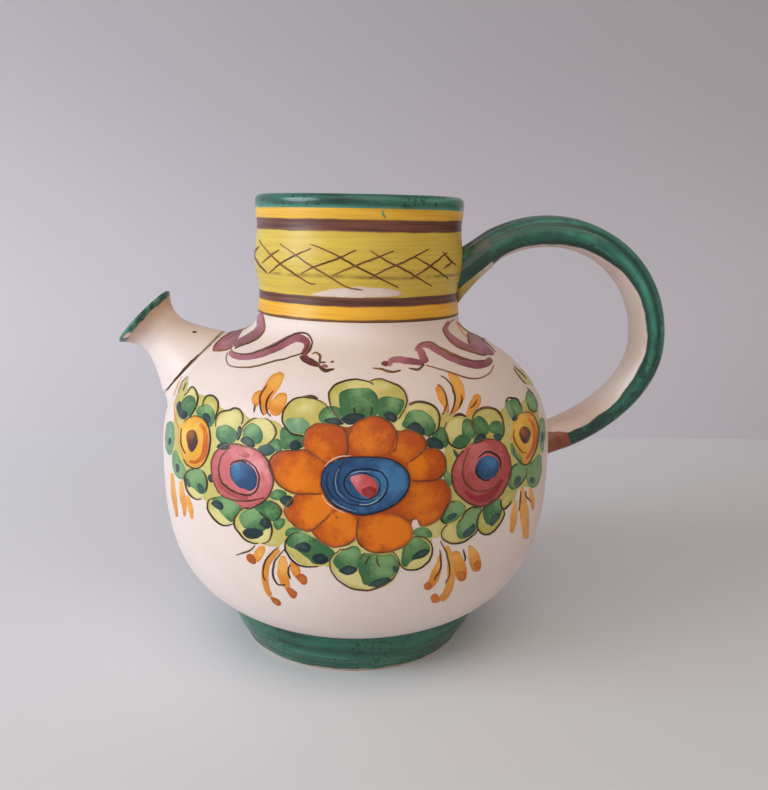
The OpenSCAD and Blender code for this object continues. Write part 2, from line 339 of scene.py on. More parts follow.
class SharedEffects:
    """The node groups that several finishes use."""

    FLOAT = "NodeSocketFloat"
    COLOUR = "NodeSocketColor"
    WAVES = (130.0, 0.7)
    PEEL = (560.0, 0.3)
    CLOUD_SCALE = 48.0
    PIN_SCALE = 150.0
    PIN_SIZE = (0.05, 0.11)
    PIN_RARITY = 0.78
    PIN_DEPTH = 0.5
    WASH = (170.0, 1.3)
    GRAIN = (900.0, 0.55)
    TONE_SHARE = 0.6
    THICKNESS = (0.05, 0.9)
    POOL_FROM = (0.8, 1.0)
    POOL_WAVER = 0.3
    POOL_SHARE = 0.5

    def start(
        self, name: str, inputs: dict[str, str], outputs: dict[str, str]
    ) -> tuple[Wiring, Node, Node]:
        """Makes an empty group.

        Args:
            name: The group's name.
            inputs: Socket types of its inputs, by label.
            outputs: Socket types of its outputs, by label.

        Returns:
            The wiring of the group, its input node and its output node.
        """
        tree = bpy.data.node_groups.new(name, "ShaderNodeTree")
        for way, sockets in (("INPUT", inputs), ("OUTPUT", outputs)):
            for label, kind in sockets.items():
                tree.interface.new_socket(name=label, in_out=way, socket_type=kind)
        wiring = Wiring(tree)
        return wiring, wiring.node("NodeGroupInput"), wiring.node("NodeGroupOutput")

    def glaze_skin(self) -> None:
        """Makes the fired skin of a glaze: its fine waves, its cloudiness and its pin-holes."""
        w, _, out = self.start(
            "glaze_skin", {}, {"Height": self.FLOAT, "Cloud": self.FLOAT, "Speck": self.FLOAT}
        )
        waves = w.times(w.noise(self.WAVES[0], 2.0), self.WAVES[1])
        peel = w.times(w.noise(self.PEEL[0], 2.0), self.PEEL[1])
        cells = w.node("ShaderNodeTexVoronoi")
        cells.inputs["Scale"].default_value = self.PIN_SCALE
        w.feed(cells.inputs["Vector"], w.place())
        dot = w.ramp(cells.outputs["Distance"], *self.PIN_SIZE, 1.0, 0.0)
        chosen = w.node("ShaderNodeSeparateColor")
        w.feed(chosen.inputs[0], cells.outputs["Color"])
        speck = w.times(dot, w.math("GREATER_THAN", chosen.outputs[0], self.PIN_RARITY))
        skin = w.plus(waves, peel)
        w.feed(out.inputs["Height"], w.less(skin, w.times(speck, self.PIN_DEPTH)))
        w.feed(out.inputs["Cloud"], w.noise(self.CLOUD_SCALE, 4.0))
        w.feed(out.inputs["Speck"], speck)

    def brushwork(self) -> None:
        """Makes the look of one loaded brush mark: thin where it starts, pooled at its edge."""
        kinds = {"Glow": self.FLOAT, "Edge": self.FLOAT, "Tone": self.FLOAT}
        kinds |= {"Light": self.COLOUR, "Deep": self.COLOUR, "Pool": self.COLOUR}
        w, given, out = self.start("brushwork", kinds, {"Color": self.COLOUR})
        wash = w.less(w.noise(self.WASH[0], 3.0), 0.5)
        grain = w.less(w.noise(self.GRAIN[0], 2.0), 0.5)
        blot = w.plus(w.times(wash, self.WASH[1]), w.times(grain, self.GRAIN[1]))
        thick = w.plus(given.outputs["Glow"], blot)
        thick = w.plus(thick, w.times(given.outputs["Tone"], self.TONE_SHARE))
        body = w.blend(w.ramp(thick, *self.THICKNESS), given.outputs["Light"], given.outputs["Deep"])
        rim = w.plus(given.outputs["Edge"], w.times(wash, self.POOL_WAVER))
        pooled = w.times(w.ramp(rim, *self.POOL_FROM), self.POOL_SHARE)
        w.feed(out.inputs["Color"], w.blend(pooled, body, given.outputs["Pool"]))

    def build(self) -> None:
        """Makes every shared group."""
        self.glaze_skin()
        self.brushwork()


@dataclass(frozen=True)
class Finish(ABC):
    """A fired surface with its own colour, on the shared glaze skin."""

    CLOUD_STEPS: ClassVar[Point] = (0.3, 0.7)
    SKIN_DEPTH: ClassVar[float] = 0.4
    name: str
    gloss: Point = (0.2, 0.34)
    relief: float = 0.25
    shine: float = 0.5

    @abstractmethod
    def colour(self, w: Wiring, skin: Node) -> Socket:
        """Wires the colour of the finish and returns it."""

    def height(self, w: Wiring, skin: Node) -> Socket:
        """Wires the height of the surface and returns it."""
        return skin.outputs["Height"]

    def roughness(self, w: Wiring, skin: Node) -> Socket:
        """Wires the roughness of the surface and returns it."""
        return w.ramp(skin.outputs["Cloud"], *self.CLOUD_STEPS, *self.gloss)

    def material(self) -> bpy.types.Material:
        """Returns the finish as a material, which is made once."""
        known = bpy.data.materials.get(self.name)
        if known:
            return known
        made = bpy.data.materials.new(self.name)
        made.use_nodes = True
        w = Wiring(made.node_tree)
        shader = made.node_tree.nodes["Principled BSDF"]
        skin = w.group("glaze_skin")
        w.feed(shader.inputs["Base Color"], self.colour(w, skin))
        w.feed(shader.inputs["Roughness"], self.roughness(w, skin))
        shader.inputs["Specular IOR Level"].default_value = self.shine
        bump = w.node("ShaderNodeBump")
        bump.inputs["Strength"].default_value = self.relief
        bump.inputs["Distance"].default_value = self.SKIN_DEPTH * MM
        w.feed(bump.inputs["Height"], self.height(w, skin))
        w.feed(shader.inputs["Normal"], bump.outputs["Normal"])
        return made


@dataclass(frozen=True)
class WhiteGlaze(Finish):
    """Warm tin white, cloudy, with rare brown pin-holes."""

    milk: Colour = (0.80, 0.695, 0.645)
    blush: Colour = (0.775, 0.65, 0.59)
    pin: Colour = (0.30, 0.16, 0.09)
    blush_steps: Point = (0.35, 0.75)
    pin_patches: Point = (0.6, 0.66)
    pin_share: float = 0.5

    def colour(self, w: Wiring, skin: Node) -> Socket:
        """Wires the colour of the finish and returns it."""
        base = w.blend(w.ramp(skin.outputs["Cloud"], *self.blush_steps), self.milk, self.blush)
        patches = w.ramp(w.noise(21.0, 1.0), *self.pin_patches, 0.0, self.pin_share)
        few = w.times(skin.outputs["Speck"], patches)
        return w.blend(few, base, self.pin)


@dataclass(frozen=True)
class SpoutGlaze(WhiteGlaze):
    """The white of the spout: tan where the flare is thinly glazed, green at its lip, brown in its seam."""

    tan: Colour = (0.50, 0.31, 0.20)
    green: Colour = (0.018, 0.080, 0.056)
    green_thin: Colour = (0.09, 0.26, 0.19)
    clay: Colour = (0.50, 0.36, 0.26)
    lip_gloss: float = 0.24
    brown: Colour = (0.11, 0.045, 0.022)
    flare_from: float = 19.5
    flare_full: float = 26.5
    lip_from: float = 26.1
    lip_edge: float = 0.5
    flare_waver: float = 2.6
    flare_share: float = 0.8
    green_steps: Point = (0.42, 0.72)
    chip_steps: Point = (0.66, 0.7)
    chips_from: Point = (27.2, 27.8)
    seam_waver: float = 0.9
    seam_width: Point = (0.62, 1.0)
    seam_depth: float = 0.9
    seam_steps: Point = (0.38, 0.6)
    seam_thin: float = 0.5

    def roughness(self, w: Wiring, skin: Node) -> Socket:
        """Wires the roughness of the surface and returns it."""
        lip = (self.lip_from, self.lip_from + self.lip_edge)
        gloss = w.ramp(w.reading("along"), *lip, 0.0, self.lip_gloss)
        return w.less(super().roughness(w, skin), gloss)

    def colour(self, w: Wiring, skin: Node) -> Socket:
        """Wires the colour of the finish and returns it."""
        white = super().colour(w, skin)
        along = w.reading("along")
        shifted = w.plus(along, w.waver(230.0, self.flare_waver))
        thin = w.times(w.ramp(shifted, self.flare_from, self.flare_full), self.flare_share)
        toned = w.blend(thin, white, self.tan)
        green = w.blend(w.ramp(w.noise(260.0, 3.0), *self.green_steps), self.green, self.green_thin)
        lipped = w.blend(w.ramp(shifted, self.lip_from, self.lip_from + self.lip_edge), toned, green)
        chip = w.times(w.ramp(w.noise(190.0, 2.0), *self.chip_steps), w.ramp(along, *self.chips_from))
        bare = w.blend(chip, lipped, self.clay)
        off_seam = w.plus(w.math("ABSOLUTE", along), w.times(w.noise(150.0, 2.0), self.seam_waver))
        dark = w.ramp(off_seam, *self.seam_width, self.seam_depth, 0.0)
        seam = w.times(dark, w.ramp(w.noise(85.0, 2.0), *self.seam_steps, self.seam_thin, 1.0))
        return w.blend(seam, bare, self.brown)


@dataclass(frozen=True)
class GreenGlaze(Finish):
    """Brushed copper green: near black where thick, brighter where it thins."""

    thick: Colour = (0.010, 0.045, 0.032)
    middle: Colour = (0.030, 0.165, 0.112)
    thin: Colour = (0.10, 0.35, 0.25)
    speck: Colour = (0.012, 0.014, 0.012)
    deep_steps: Point = (0.3, 0.55)
    thin_steps: Point = (0.54, 0.78)
    grain_patches: Point = (0.42, 0.6)
    grain_steps: Point = (0.56, 0.64)
    grain_share: float = 0.8
    pin_share: float = 0.85

    def strokes(self, w: Wiring) -> Socket:
        """Returns the coordinates along which the brush ran."""
        return w.stretched(26.0, 26.0, 240.0)

    def colour(self, w: Wiring, skin: Node) -> Socket:
        """Wires the colour of the finish and returns it."""
        strokes = w.noise(1.0, 4.0, self.strokes(w), 0.4)
        base = w.blend(w.ramp(strokes, *self.deep_steps), self.thick, self.middle)
        base = w.blend(w.ramp(strokes, *self.thin_steps), base, self.thin)
        patch = w.ramp(w.noise(70.0, 2.0), *self.grain_patches, 0.0, self.grain_share)
        grain = w.ramp(w.noise(640.0, 2.0), *self.grain_steps)
        base = w.blend(w.times(grain, patch), base, self.speck)
        return w.blend(w.times(skin.outputs["Speck"], self.pin_share), base, self.speck)


@dataclass(frozen=True)
class FootGlaze(GreenGlaze):
    """The green of the foot, which stops above the edge that stands in the kiln."""

    thick: Colour = (0.008, 0.040, 0.027)
    middle: Colour = (0.017, 0.125, 0.078)
    thin: Colour = (0.055, 0.25, 0.16)
    clay: Colour = (0.55, 0.40, 0.29)
    clay_to: float = 0.75
    clay_fade: float = 0.7
    clay_waver: float = 2.4

    def colour(self, w: Wiring, skin: Node) -> Socket:
        """Wires the colour of the finish and returns it."""
        green = super().colour(w, skin)
        level = w.plus(w.height(), w.waver(95.0, self.clay_waver))
        return w.blend(w.ramp(level, self.clay_to, self.clay_to + self.clay_fade), self.clay, green)


@dataclass(frozen=True)
class RimGlaze(GreenGlaze):
    """The green of the rim, thinner and brighter along its lower edge."""

    edge_z: float = 184.0
    edge_height: float = 1.5
    edge_share: float = 0.75
    edge_waver: float = 2.0

    def colour(self, w: Wiring, skin: Node) -> Socket:
        """Wires the colour of the finish and returns it."""
        green = super().colour(w, skin)
        level = w.plus(w.height(), w.waver(60.0, self.edge_waver))
        edge = w.ramp(level, self.edge_z, self.edge_z + self.edge_height, self.edge_share, 0.0)
        return w.blend(edge, green, self.thin)


@dataclass(frozen=True)
class BandedGlaze(Finish):
    """The neck's brushed bands, from the shoulder line up to the rim."""

    levels: tuple[float, ...] = (142.7, 147.62, 151.15, 175.5, 180.0)
    bands: tuple[Colour, ...] = (
        (0.13, 0.052, 0.012),
        (0.86, 0.48, 0.04),
        (0.085, 0.030, 0.020),
        (0.68, 0.50, 0.07),
        (0.085, 0.030, 0.020),
        (0.82, 0.48, 0.05),
    )
    shades: tuple[Colour, ...] = (
        (0.21, 0.085, 0.02),
        (0.78, 0.38, 0.025),
        (0.185, 0.066, 0.042),
        (0.60, 0.43, 0.06),
        (0.18, 0.064, 0.040),
        (0.72, 0.38, 0.03),
    )
    inside: Colour = (0.74, 0.63, 0.57)
    smear_z: float = 158.9
    smear_width: Point = (0.25, 0.9)
    smear_share: float = 0.5
    smear_steps: Point = (0.38, 0.6)
    waver: float = 1.7
    edge: float = 0.3
    hair_steps: Point = (0.36, 0.66)

    def colour(self, w: Wiring, skin: Node) -> Socket:
        """Wires the colour of the finish and returns it."""
        level = w.plus(w.height(), w.waver(42.0, self.waver))
        hair = w.noise(1.0, 3.0, w.stretched(30.0, 30.0, 900.0), 0.3)
        streak = w.ramp(hair, *self.hair_steps)
        made: Socket | None = None
        for band, shade, start in zip(self.bands, self.shades, (0.0, *self.levels)):
            brushed = w.blend(streak, band, shade)
            step = None if made is None else w.ramp(level, start - self.edge, start + self.edge)
            made = brushed if made is None else w.blend(step, made, brushed)
        smear = w.ramp(w.gap(level, self.smear_z), *self.smear_width, self.smear_share, 0.0)
        smear = w.times(smear, w.ramp(w.noise(75.0, 3.0), *self.smear_steps))
        made = w.blend(smear, made, self.bands[2])
        return w.blend(w.reading("inner"), made, self.inside)


@dataclass(frozen=True)
class StrapGlaze(GreenGlaze):
    """The strap: green over its ribbed face, bare pinkish white inside, a sienna dab at its lower root, with
    painted shade and painted light along the inside and painted highlights on the ribs and along the green's
    inner edge.
    """

    middle: Colour = (0.014, 0.115, 0.076)
    thin: Colour = (0.060, 0.29, 0.20)
    white: Colour = (0.74, 0.60, 0.545)
    stain: Colour = (0.60, 0.44, 0.36)
    sienna: Colour = (0.27, 0.075, 0.024)
    sienna_deep: Colour = (0.15, 0.040, 0.015)
    # The next three colours are painted light on the bare inside: a darker tone of painted shade round the
    # first length below, a paler tone of painted light round the second, and a painted highlight along the
    # inner edge of the green.
    painted_shade: Colour = (0.59, 0.49, 0.41)
    pale: Colour = (0.74, 0.67, 0.625)
    milk: Colour = (0.88, 0.86, 0.82)
    painted_shade_at: Point = (60.0, 26.0)
    painted_light_at: Point = (93.0, 28.0)
    clotted: Point = (58.0, 84.0)
    # A grey-brown patch on the outer face near the upper root: its colour, place, width, strength and cover.
    grey_patch: Colour = (0.17, 0.14, 0.11)
    grey_patch_at: float = 12.0
    grey_patch_width: Point = (1.0, 5.0)
    grey_patch_share: float = 0.6
    grey_patch_cover: Point = (5.5, 8.0)
    clot_share: float = 0.8
    # Lengths over which the green darkens towards each root, and by how much.
    top_darkening: Point = (15.0, 3.0)
    low_darkening: Point = (98.0, 124.0)
    darkening_shares: Point = (0.9, 0.95)
    painted_shading_share: float = 0.85
    # Where the painted highlight along the green's inner edge sits, by cover.
    highlight_cover: Point = (-2.4, -0.5)
    edge_share: float = 0.55
    rim_from: Point = (1.4, 0.3)
    rim_share: float = 0.55
    ridge_height: float = 2.2
    ridge_shares: Point = (0.25, 0.8)
    waver: float = 1.2
    bare_rough: float = 0.34
    dab_length: float = 9.5
    dab_fade: float = 0.6
    along: float = 0.03
    across: float = 0.32
    deep_steps: Point = (0.36, 0.54)
    thin_steps: Point = (0.52, 0.7)

    def strokes(self, w: Wiring) -> Socket:
        """Returns the coordinates along which the brush ran."""
        run = w.node("ShaderNodeCombineXYZ")
        w.feed(run.inputs[0], w.times(w.reading("length"), self.along))
        w.feed(run.inputs[1], w.times(w.reading("girth"), self.across))
        return run.outputs[0]

    def height(self, w: Wiring, skin: Node) -> Socket:
        """Wires the height of the surface and returns it."""
        return w.plus(super().height(w, skin), w.times(w.reading("ridge"), self.ridge_height))

    def roughness(self, w: Wiring, skin: Node) -> Socket:
        """Wires the roughness of the surface and returns it."""
        bare = w.ramp(w.reading("cover"), 0.3, -0.3, 0.0, self.bare_rough)
        return w.plus(super().roughness(w, skin), bare)

    def colour(self, w: Wiring, skin: Node) -> Socket:
        """Wires the colour of the finish and returns it."""
        green = super().colour(w, skin)
        # Painted highlight: the ribs are lightened towards the thin green.
        ridge_highlight = w.ramp(w.noise(120.0, 2.0), 0.35, 0.65, *self.ridge_shares)
        green = w.blend(w.times(w.reading("ridge"), ridge_highlight), green, self.thin)
        length = w.reading("length")
        # The green turns darker towards both roots of the strap.
        ends = zip((self.top_darkening, self.low_darkening), self.darkening_shares)
        darker_ends = w.plus(*(w.ramp(length, *steps, 0.0, share) for steps, share in ends))
        green = w.blend(w.times(darker_ends, w.ramp(w.noise(110.0, 3.0), 0.3, 0.5)), green, self.thick)
        # A grey-brown patch on the outer face near the upper root.
        grey_patch = w.ramp(w.gap(length, self.grey_patch_at), *self.grey_patch_width, self.grey_patch_share, 0.0)
        grey_patch = w.times(grey_patch, w.ramp(w.reading("cover"), *self.grey_patch_cover))
        green = w.blend(w.times(grey_patch, w.ramp(w.noise(160.0, 3.0), 0.35, 0.6)), green, self.grey_patch)
        clots = w.ramp(length, *self.clotted, 0.0, self.clot_share)
        green = w.blend(w.times(w.ramp(w.noise(310.0, 3.0), 0.5, 0.6), clots), green, self.thick)
        cloudy = w.blend(w.ramp(skin.outputs["Cloud"], 0.4, 0.75), self.white, self.stain)
        waver = w.waver(140.0, self.waver)
        cover = w.plus(w.reading("cover"), waver)
        # Painted shade on the inside round the first length, and painted light round the second.
        for (at, width), painted_tone in ((self.painted_shade_at, self.painted_shade), (self.painted_light_at, self.pale)):
            off = w.gap(length, at)
            cloudy = w.blend(w.ramp(off, 0.0, width, self.painted_shading_share, 0.0), cloudy, painted_tone)
        # Painted highlight: a near-white line along the inner edge of the green, round the second length.
        edge = w.times(w.ramp(cover, *self.highlight_cover), w.ramp(off, 2.0, width, self.edge_share, 0.0))
        cloudy = w.blend(edge, cloudy, self.milk)
        green = w.blend(w.ramp(cover, *self.rim_from, 0.0, self.rim_share), green, self.thick)
        coated = w.blend(w.ramp(cover, -0.2, 0.3), cloudy, green)
        dab = w.blend(w.ramp(w.noise(150.0, 2.0), 0.4, 0.7), self.sienna, self.sienna_deep)
        near = w.plus(w.reading("root"), waver)
        reach = w.ramp(near, self.dab_length + self.dab_fade, self.dab_length)
        return w.blend(w.times(reach, w.ramp(cover, -0.3, 0.2)), coated, dab)


@dataclass(frozen=True)
class WadGlaze(Finish):
    """The wad under the strap: olive where the green ran into it, whitish below."""

    top: Colour = (0.50, 0.38, 0.09)
    low: Colour = (0.66, 0.54, 0.42)
    crack: Colour = (0.2, 0.13, 0.08)
    fade: Point = (49.0, 54.0)
    waver: float = 5.0
    crack_share: float = 0.45

    def colour(self, w: Wiring, skin: Node) -> Socket:
        """Wires the colour of the finish and returns it."""
        split = w.node("ShaderNodeSeparateXYZ")
        w.feed(split.inputs[0], w.place())
        out = w.plus(split.outputs["X"], w.times(w.noise(160.0, 3.0), self.waver * MM))
        base = w.blend(w.ramp(out, *(at * MM for at in self.fade)), self.top, self.low)
        crack = w.ramp(w.noise(330.0, 4.0), 0.6, 0.7, 0.0, self.crack_share)
        return w.blend(crack, base, self.crack)


@dataclass
class Belly:
    """The thrown globe with its cove, wall, floor and the port under the spout."""

    radius: float = 83.05
    lift: float = 10.0
    low_height: float = 74.0
    low_power: float = 3.0
    top_height: float = 55.8
    top_power: float = 2.4
    wall: float = 6.0
    base_z: float = 13.2
    floor_z: float = 20.2
    neck_radius: float = 42.65
    neck_inner: float = 37.05
    cove_width: float = 13.0
    cove_height: float = 11.9
    cove_pulls: Point = (0.42, 0.6)
    ripple: float = 0.14
    rings: float = 0.05
    ring_pitch: float = 1.25
    margin: float = 1.0
    flank_steps: int = 120
    cove_steps: int = 16
    inside_steps: int = 70
    turn_steps: int = 288
    finish: Finish = field(default_factory=lambda: WhiteGlaze("white_tin_glaze", (0.4, 0.54), 0.1, 0.3))

    @property
    def widest_z(self) -> float:
        """Height of the widest circle."""
        return self.lift + self.low_height

    def radius_at(self, z: float, wall: float = 0.0) -> float:
        """Returns the radius of the globe at a height, less a wall."""
        low = z < self.widest_z
        power = self.low_power if low else self.top_power
        height = (self.low_height if low else self.top_height) - wall
        share = min(1.0, abs(z - self.widest_z) / height)
        return (self.radius - wall) * (1 - share**power) ** (1 / power)

    def height_at(self, radius: float, wall: float = 0.0) -> float:
        """Returns the height of the upper curve at a radius, less a wall."""
        share = radius / (self.radius - wall)
        return self.widest_z + (self.top_height - wall) * (1 - share**self.top_power) ** (1 / self.top_power)

    def slope_at(self, z: float) -> float:
        """Returns how fast the radius changes with the height, on the upper curve."""
        part = ((z - self.widest_z) / self.top_height) ** self.top_power
        return -self.radius / self.top_height * (part / (1 - part)) ** (1 - 1 / self.top_power)

    @property
    def top_z(self) -> float:
        """Height of the shoulder line."""
        return self.height_at(self.neck_radius + self.cove_width) + self.cove_height

    def arch(self, low: float, high: float, wall: float, count: int) -> list[Point]:
        """Returns points of the globe's curve between two heights, closer together near its poles."""
        middle = self.widest_z
        made = []
        for i in range(count + 1):
            share = i / count
            if low < middle < high:
                turn = -1 + 2 * share
                reach = (middle - low) if turn < 0 else (high - middle)
                z = middle + reach * math.sin(turn * math.pi / 2)
            else:
                z = low + (high - low) * share
            made.append((self.radius_at(z, wall), z))
        return made

    def flank(self) -> list[Point]:
        """Returns the outer outline, from the base up to the shoulder line."""
        start = (self.neck_radius + self.cove_width, self.top_z - self.cove_height)
        slope = Vector((self.slope_at(start[1]), 1.0)).normalized() * self.cove_pulls[0] * self.cove_width
        cove = [
            Vector(start),
            Vector(start) + slope,
            Vector((self.neck_radius, self.top_z - self.cove_pulls[1] * self.cove_height)),
            Vector((self.neck_radius, self.top_z)),
        ]
        drawn = [tuple(bezier(cove, i / self.cove_steps)) for i in range(1, self.cove_steps + 1)]
        return [*self.arch(self.base_z, start[1], 0.0, self.flank_steps), *drawn]

    def skin_at(self, z: float) -> float:
        """Returns the radius of the outer skin at a height, cove and all."""
        points = self.flank()
        for (first, low), (second, high) in zip(points, points[1:]):
            if low <= z <= high:
                return first + (second - first) * (z - low) / (high - low)
        return points[-1][0]

    def outline(self) -> list[Point]:
        """Returns the turned outline, from the underside's middle to the floor's."""
        inner_top = self.height_at(self.neck_inner, self.wall)
        inside = self.arch(self.floor_z, inner_top, self.wall, self.inside_steps)
        return [
            (0.0, self.base_z),
            *self.flank(),
            (self.neck_inner, self.top_z),
            *reversed(inside),
            (0.0, self.floor_z),
        ]

    def hand_thrown(self, at: Vector) -> float:
        """Returns how far the thrower's hand left a point of the outside short of the true curve."""
        angle = math.atan2(at.y, at.x)
        sway = 0.5 + 0.3 * math.sin(2 * angle + at.z / 19) + 0.2 * math.sin(4 * angle - at.z / 11)
        ring = 0.5 + 0.5 * math.sin(at.z / self.ring_pitch + 0.6 * math.sin(2 * angle))
        return self.ripple * sway + self.rings * ring

    def build(self, spout: "Spout") -> Piece:
        """Builds and dresses the globe.

        Args:
            spout: The spout whose port opens the wall.

        Returns:
            The globe.
        """
        bm = spun(self.outline(), self.turn_steps, closed=False)
        for vert in bm.verts:
            flat = Vector((vert.co.x, vert.co.y, 0.0))
            away = flat.length - self.radius_at(vert.co.z)
            low, high = self.base_z + self.margin, self.top_z - self.margin
            if away > -self.margin and low < vert.co.z < high:
                vert.co -= flat.normalized() * self.hand_thrown(vert.co)
        globe = finished("belly", bm)
        cutter = finished("port_cutter", spout.port(self.wall))
        cut = globe.modifiers.new("port", "BOOLEAN")
        cut.object, cut.operation, cut.solver = cutter, "DIFFERENCE", "EXACT"
        shown = globe.evaluated_get(bpy.context.evaluated_depsgraph_get())
        opened = bpy.data.meshes.new_from_object(shown)
        globe.modifiers.clear()
        globe.data = opened
        bpy.data.objects.remove(cutter, do_unlink=True)
        return place(globe, self.finish, Slot.WHITE, "body_globe")


@dataclass
class FootRing:
    """The turned ring that the jug stands on, luted a little off the belly's axis."""

    low_radius: float = 48.95
    top_radius: float = 56.0
    bulge: float = 1.2
    inner: float = 40.0
    edge: float = 1.8
    top_z: float = 18.41
    groove_z: float = 4.6
    groove: float = 0.35
    groove_width: float = 0.45
    lap: Point = (2.5, 0.6)
    inner_top: float = 14.2
    drift: float = -0.9
    flank_steps: int = 40
    turn_steps: int = 224
    finish: Finish = field(default_factory=lambda: FootGlaze("foot_green_glaze", (0.16, 0.3)))

    def flank(self, z: float) -> float:
        """Returns the outer radius at a height."""
        share = (z - self.edge) / (self.top_z - self.edge)
        nick = self.groove * math.exp(-(((z - self.groove_z) / self.groove_width) ** 2))
        swell = self.bulge * math.sin(math.pi * share)
        return self.low_radius + (self.top_radius - self.low_radius) * share + swell - nick

    def build(self) -> Piece:
        """Builds and dresses the foot."""
        edge = arc((self.low_radius - self.edge, self.edge), self.edge, -90, -6)
        rise = self.top_z - self.edge
        levels = [self.edge + rise * i / self.flank_steps for i in range(self.flank_steps + 1)]
        lap = (self.top_radius - self.lap[0], self.top_z + self.lap[1])
        flank = [(self.flank(z), z) for z in levels]
        outline = [(self.inner, 0.0), *edge, *flank, lap, (self.inner, self.inner_top)]
        bm = spun(outline, self.turn_steps, closed=True)
        for vert in bm.verts:
            vert.co.x += self.drift * max(0.0, 1 - vert.co.z / self.top_z)
        return place(finished("foot", bm), self.finish, Slot.GREEN, "foot_ring")


@dataclass
class NeckCollar:
    """The open collar, drawn in above the shoulder line and swelling at its wide band."""

    radius: float = 42.65
    inner: float = 37.05
    low_z: float = 141.63
    height: float = 42.35
    knots: tuple[Point, ...] = ((0, 0), (0.18, -0.65), (0.5, 1.1), (0.84, 0), (1, 0.6))
    tuck: float = 0.3
    ease: float = 0.02
    inner_reach: float = 1.0
    flank_steps: int = 60
    turn_steps: int = 224
    finish: Finish = field(default_factory=lambda: BandedGlaze("neck_banded_glaze", (0.3, 0.44), 0.2, 0.4))

    def radius_at(self, z: float) -> float:
        """Returns the outer radius at a height."""
        return self.radius + eased(self.knots, (z - self.low_z) / self.height)

    def build(self) -> Piece:
        """Builds and dresses the collar."""
        levels = [self.low_z + self.height * i / self.flank_steps for i in range(self.flank_steps + 1)]
        outside = [(self.radius_at(z), z) for z in levels]
        outline = [
            (self.radius - self.ease, self.low_z - self.tuck),
            *outside,
            (self.inner, self.low_z + self.height),
            (self.inner, self.low_z - self.tuck),
        ]
        bm = spun(outline, self.turn_steps, closed=True)
        inner = bm.verts.layers.float.new("inner")
        for vert in bm.verts:
            within = math.hypot(vert.co.x, vert.co.y) < self.inner + self.inner_reach
            vert[inner] = 1.0 if within else 0.0
        return place(finished("neck", bm), self.finish, Slot.YELLOW, "neck_collar")


@dataclass
class RimBead:
    """The rounded bead that finishes the mouth."""

    low_z: float = 183.98
    height: float = 5.395
    neck_top: float = 43.25
    radius: float = 43.4
    inner: float = 37.05
    curl: float = 2.5
    dip: float = 0.12
    tuck: float = 0.2
    tuck_in: float = 0.1
    lift: float = 0.15
    turn_steps: int = 224
    finish: Finish = field(default_factory=lambda: RimGlaze("rim_green_glaze", (0.13, 0.26)))

    def build(self) -> Piece:
        """Builds and dresses the bead."""
        shoulder = self.low_z + self.height - self.curl
        outline = [
            (self.inner, self.low_z - self.tuck),
            (self.neck_top - self.tuck_in, self.low_z - self.tuck),
            (self.neck_top, self.low_z),
            (self.radius, self.low_z + self.lift),
            *arc((self.radius - self.curl, shoulder), self.curl, 0, 90),
            *arc((self.inner + self.curl, shoulder), self.curl, 90, 180),
        ]
        bm = spun(outline, self.turn_steps, closed=True)
        for vert in bm.verts:
            if vert.co.z > shoulder:
                angle = math.atan2(vert.co.y, vert.co.x)
                vert.co.z -= self.dip * (0.5 + 0.5 * math.sin(3 * angle + 0.4))
        return place(finished("rim", bm), self.finish, Slot.GREEN, "rim_coil")


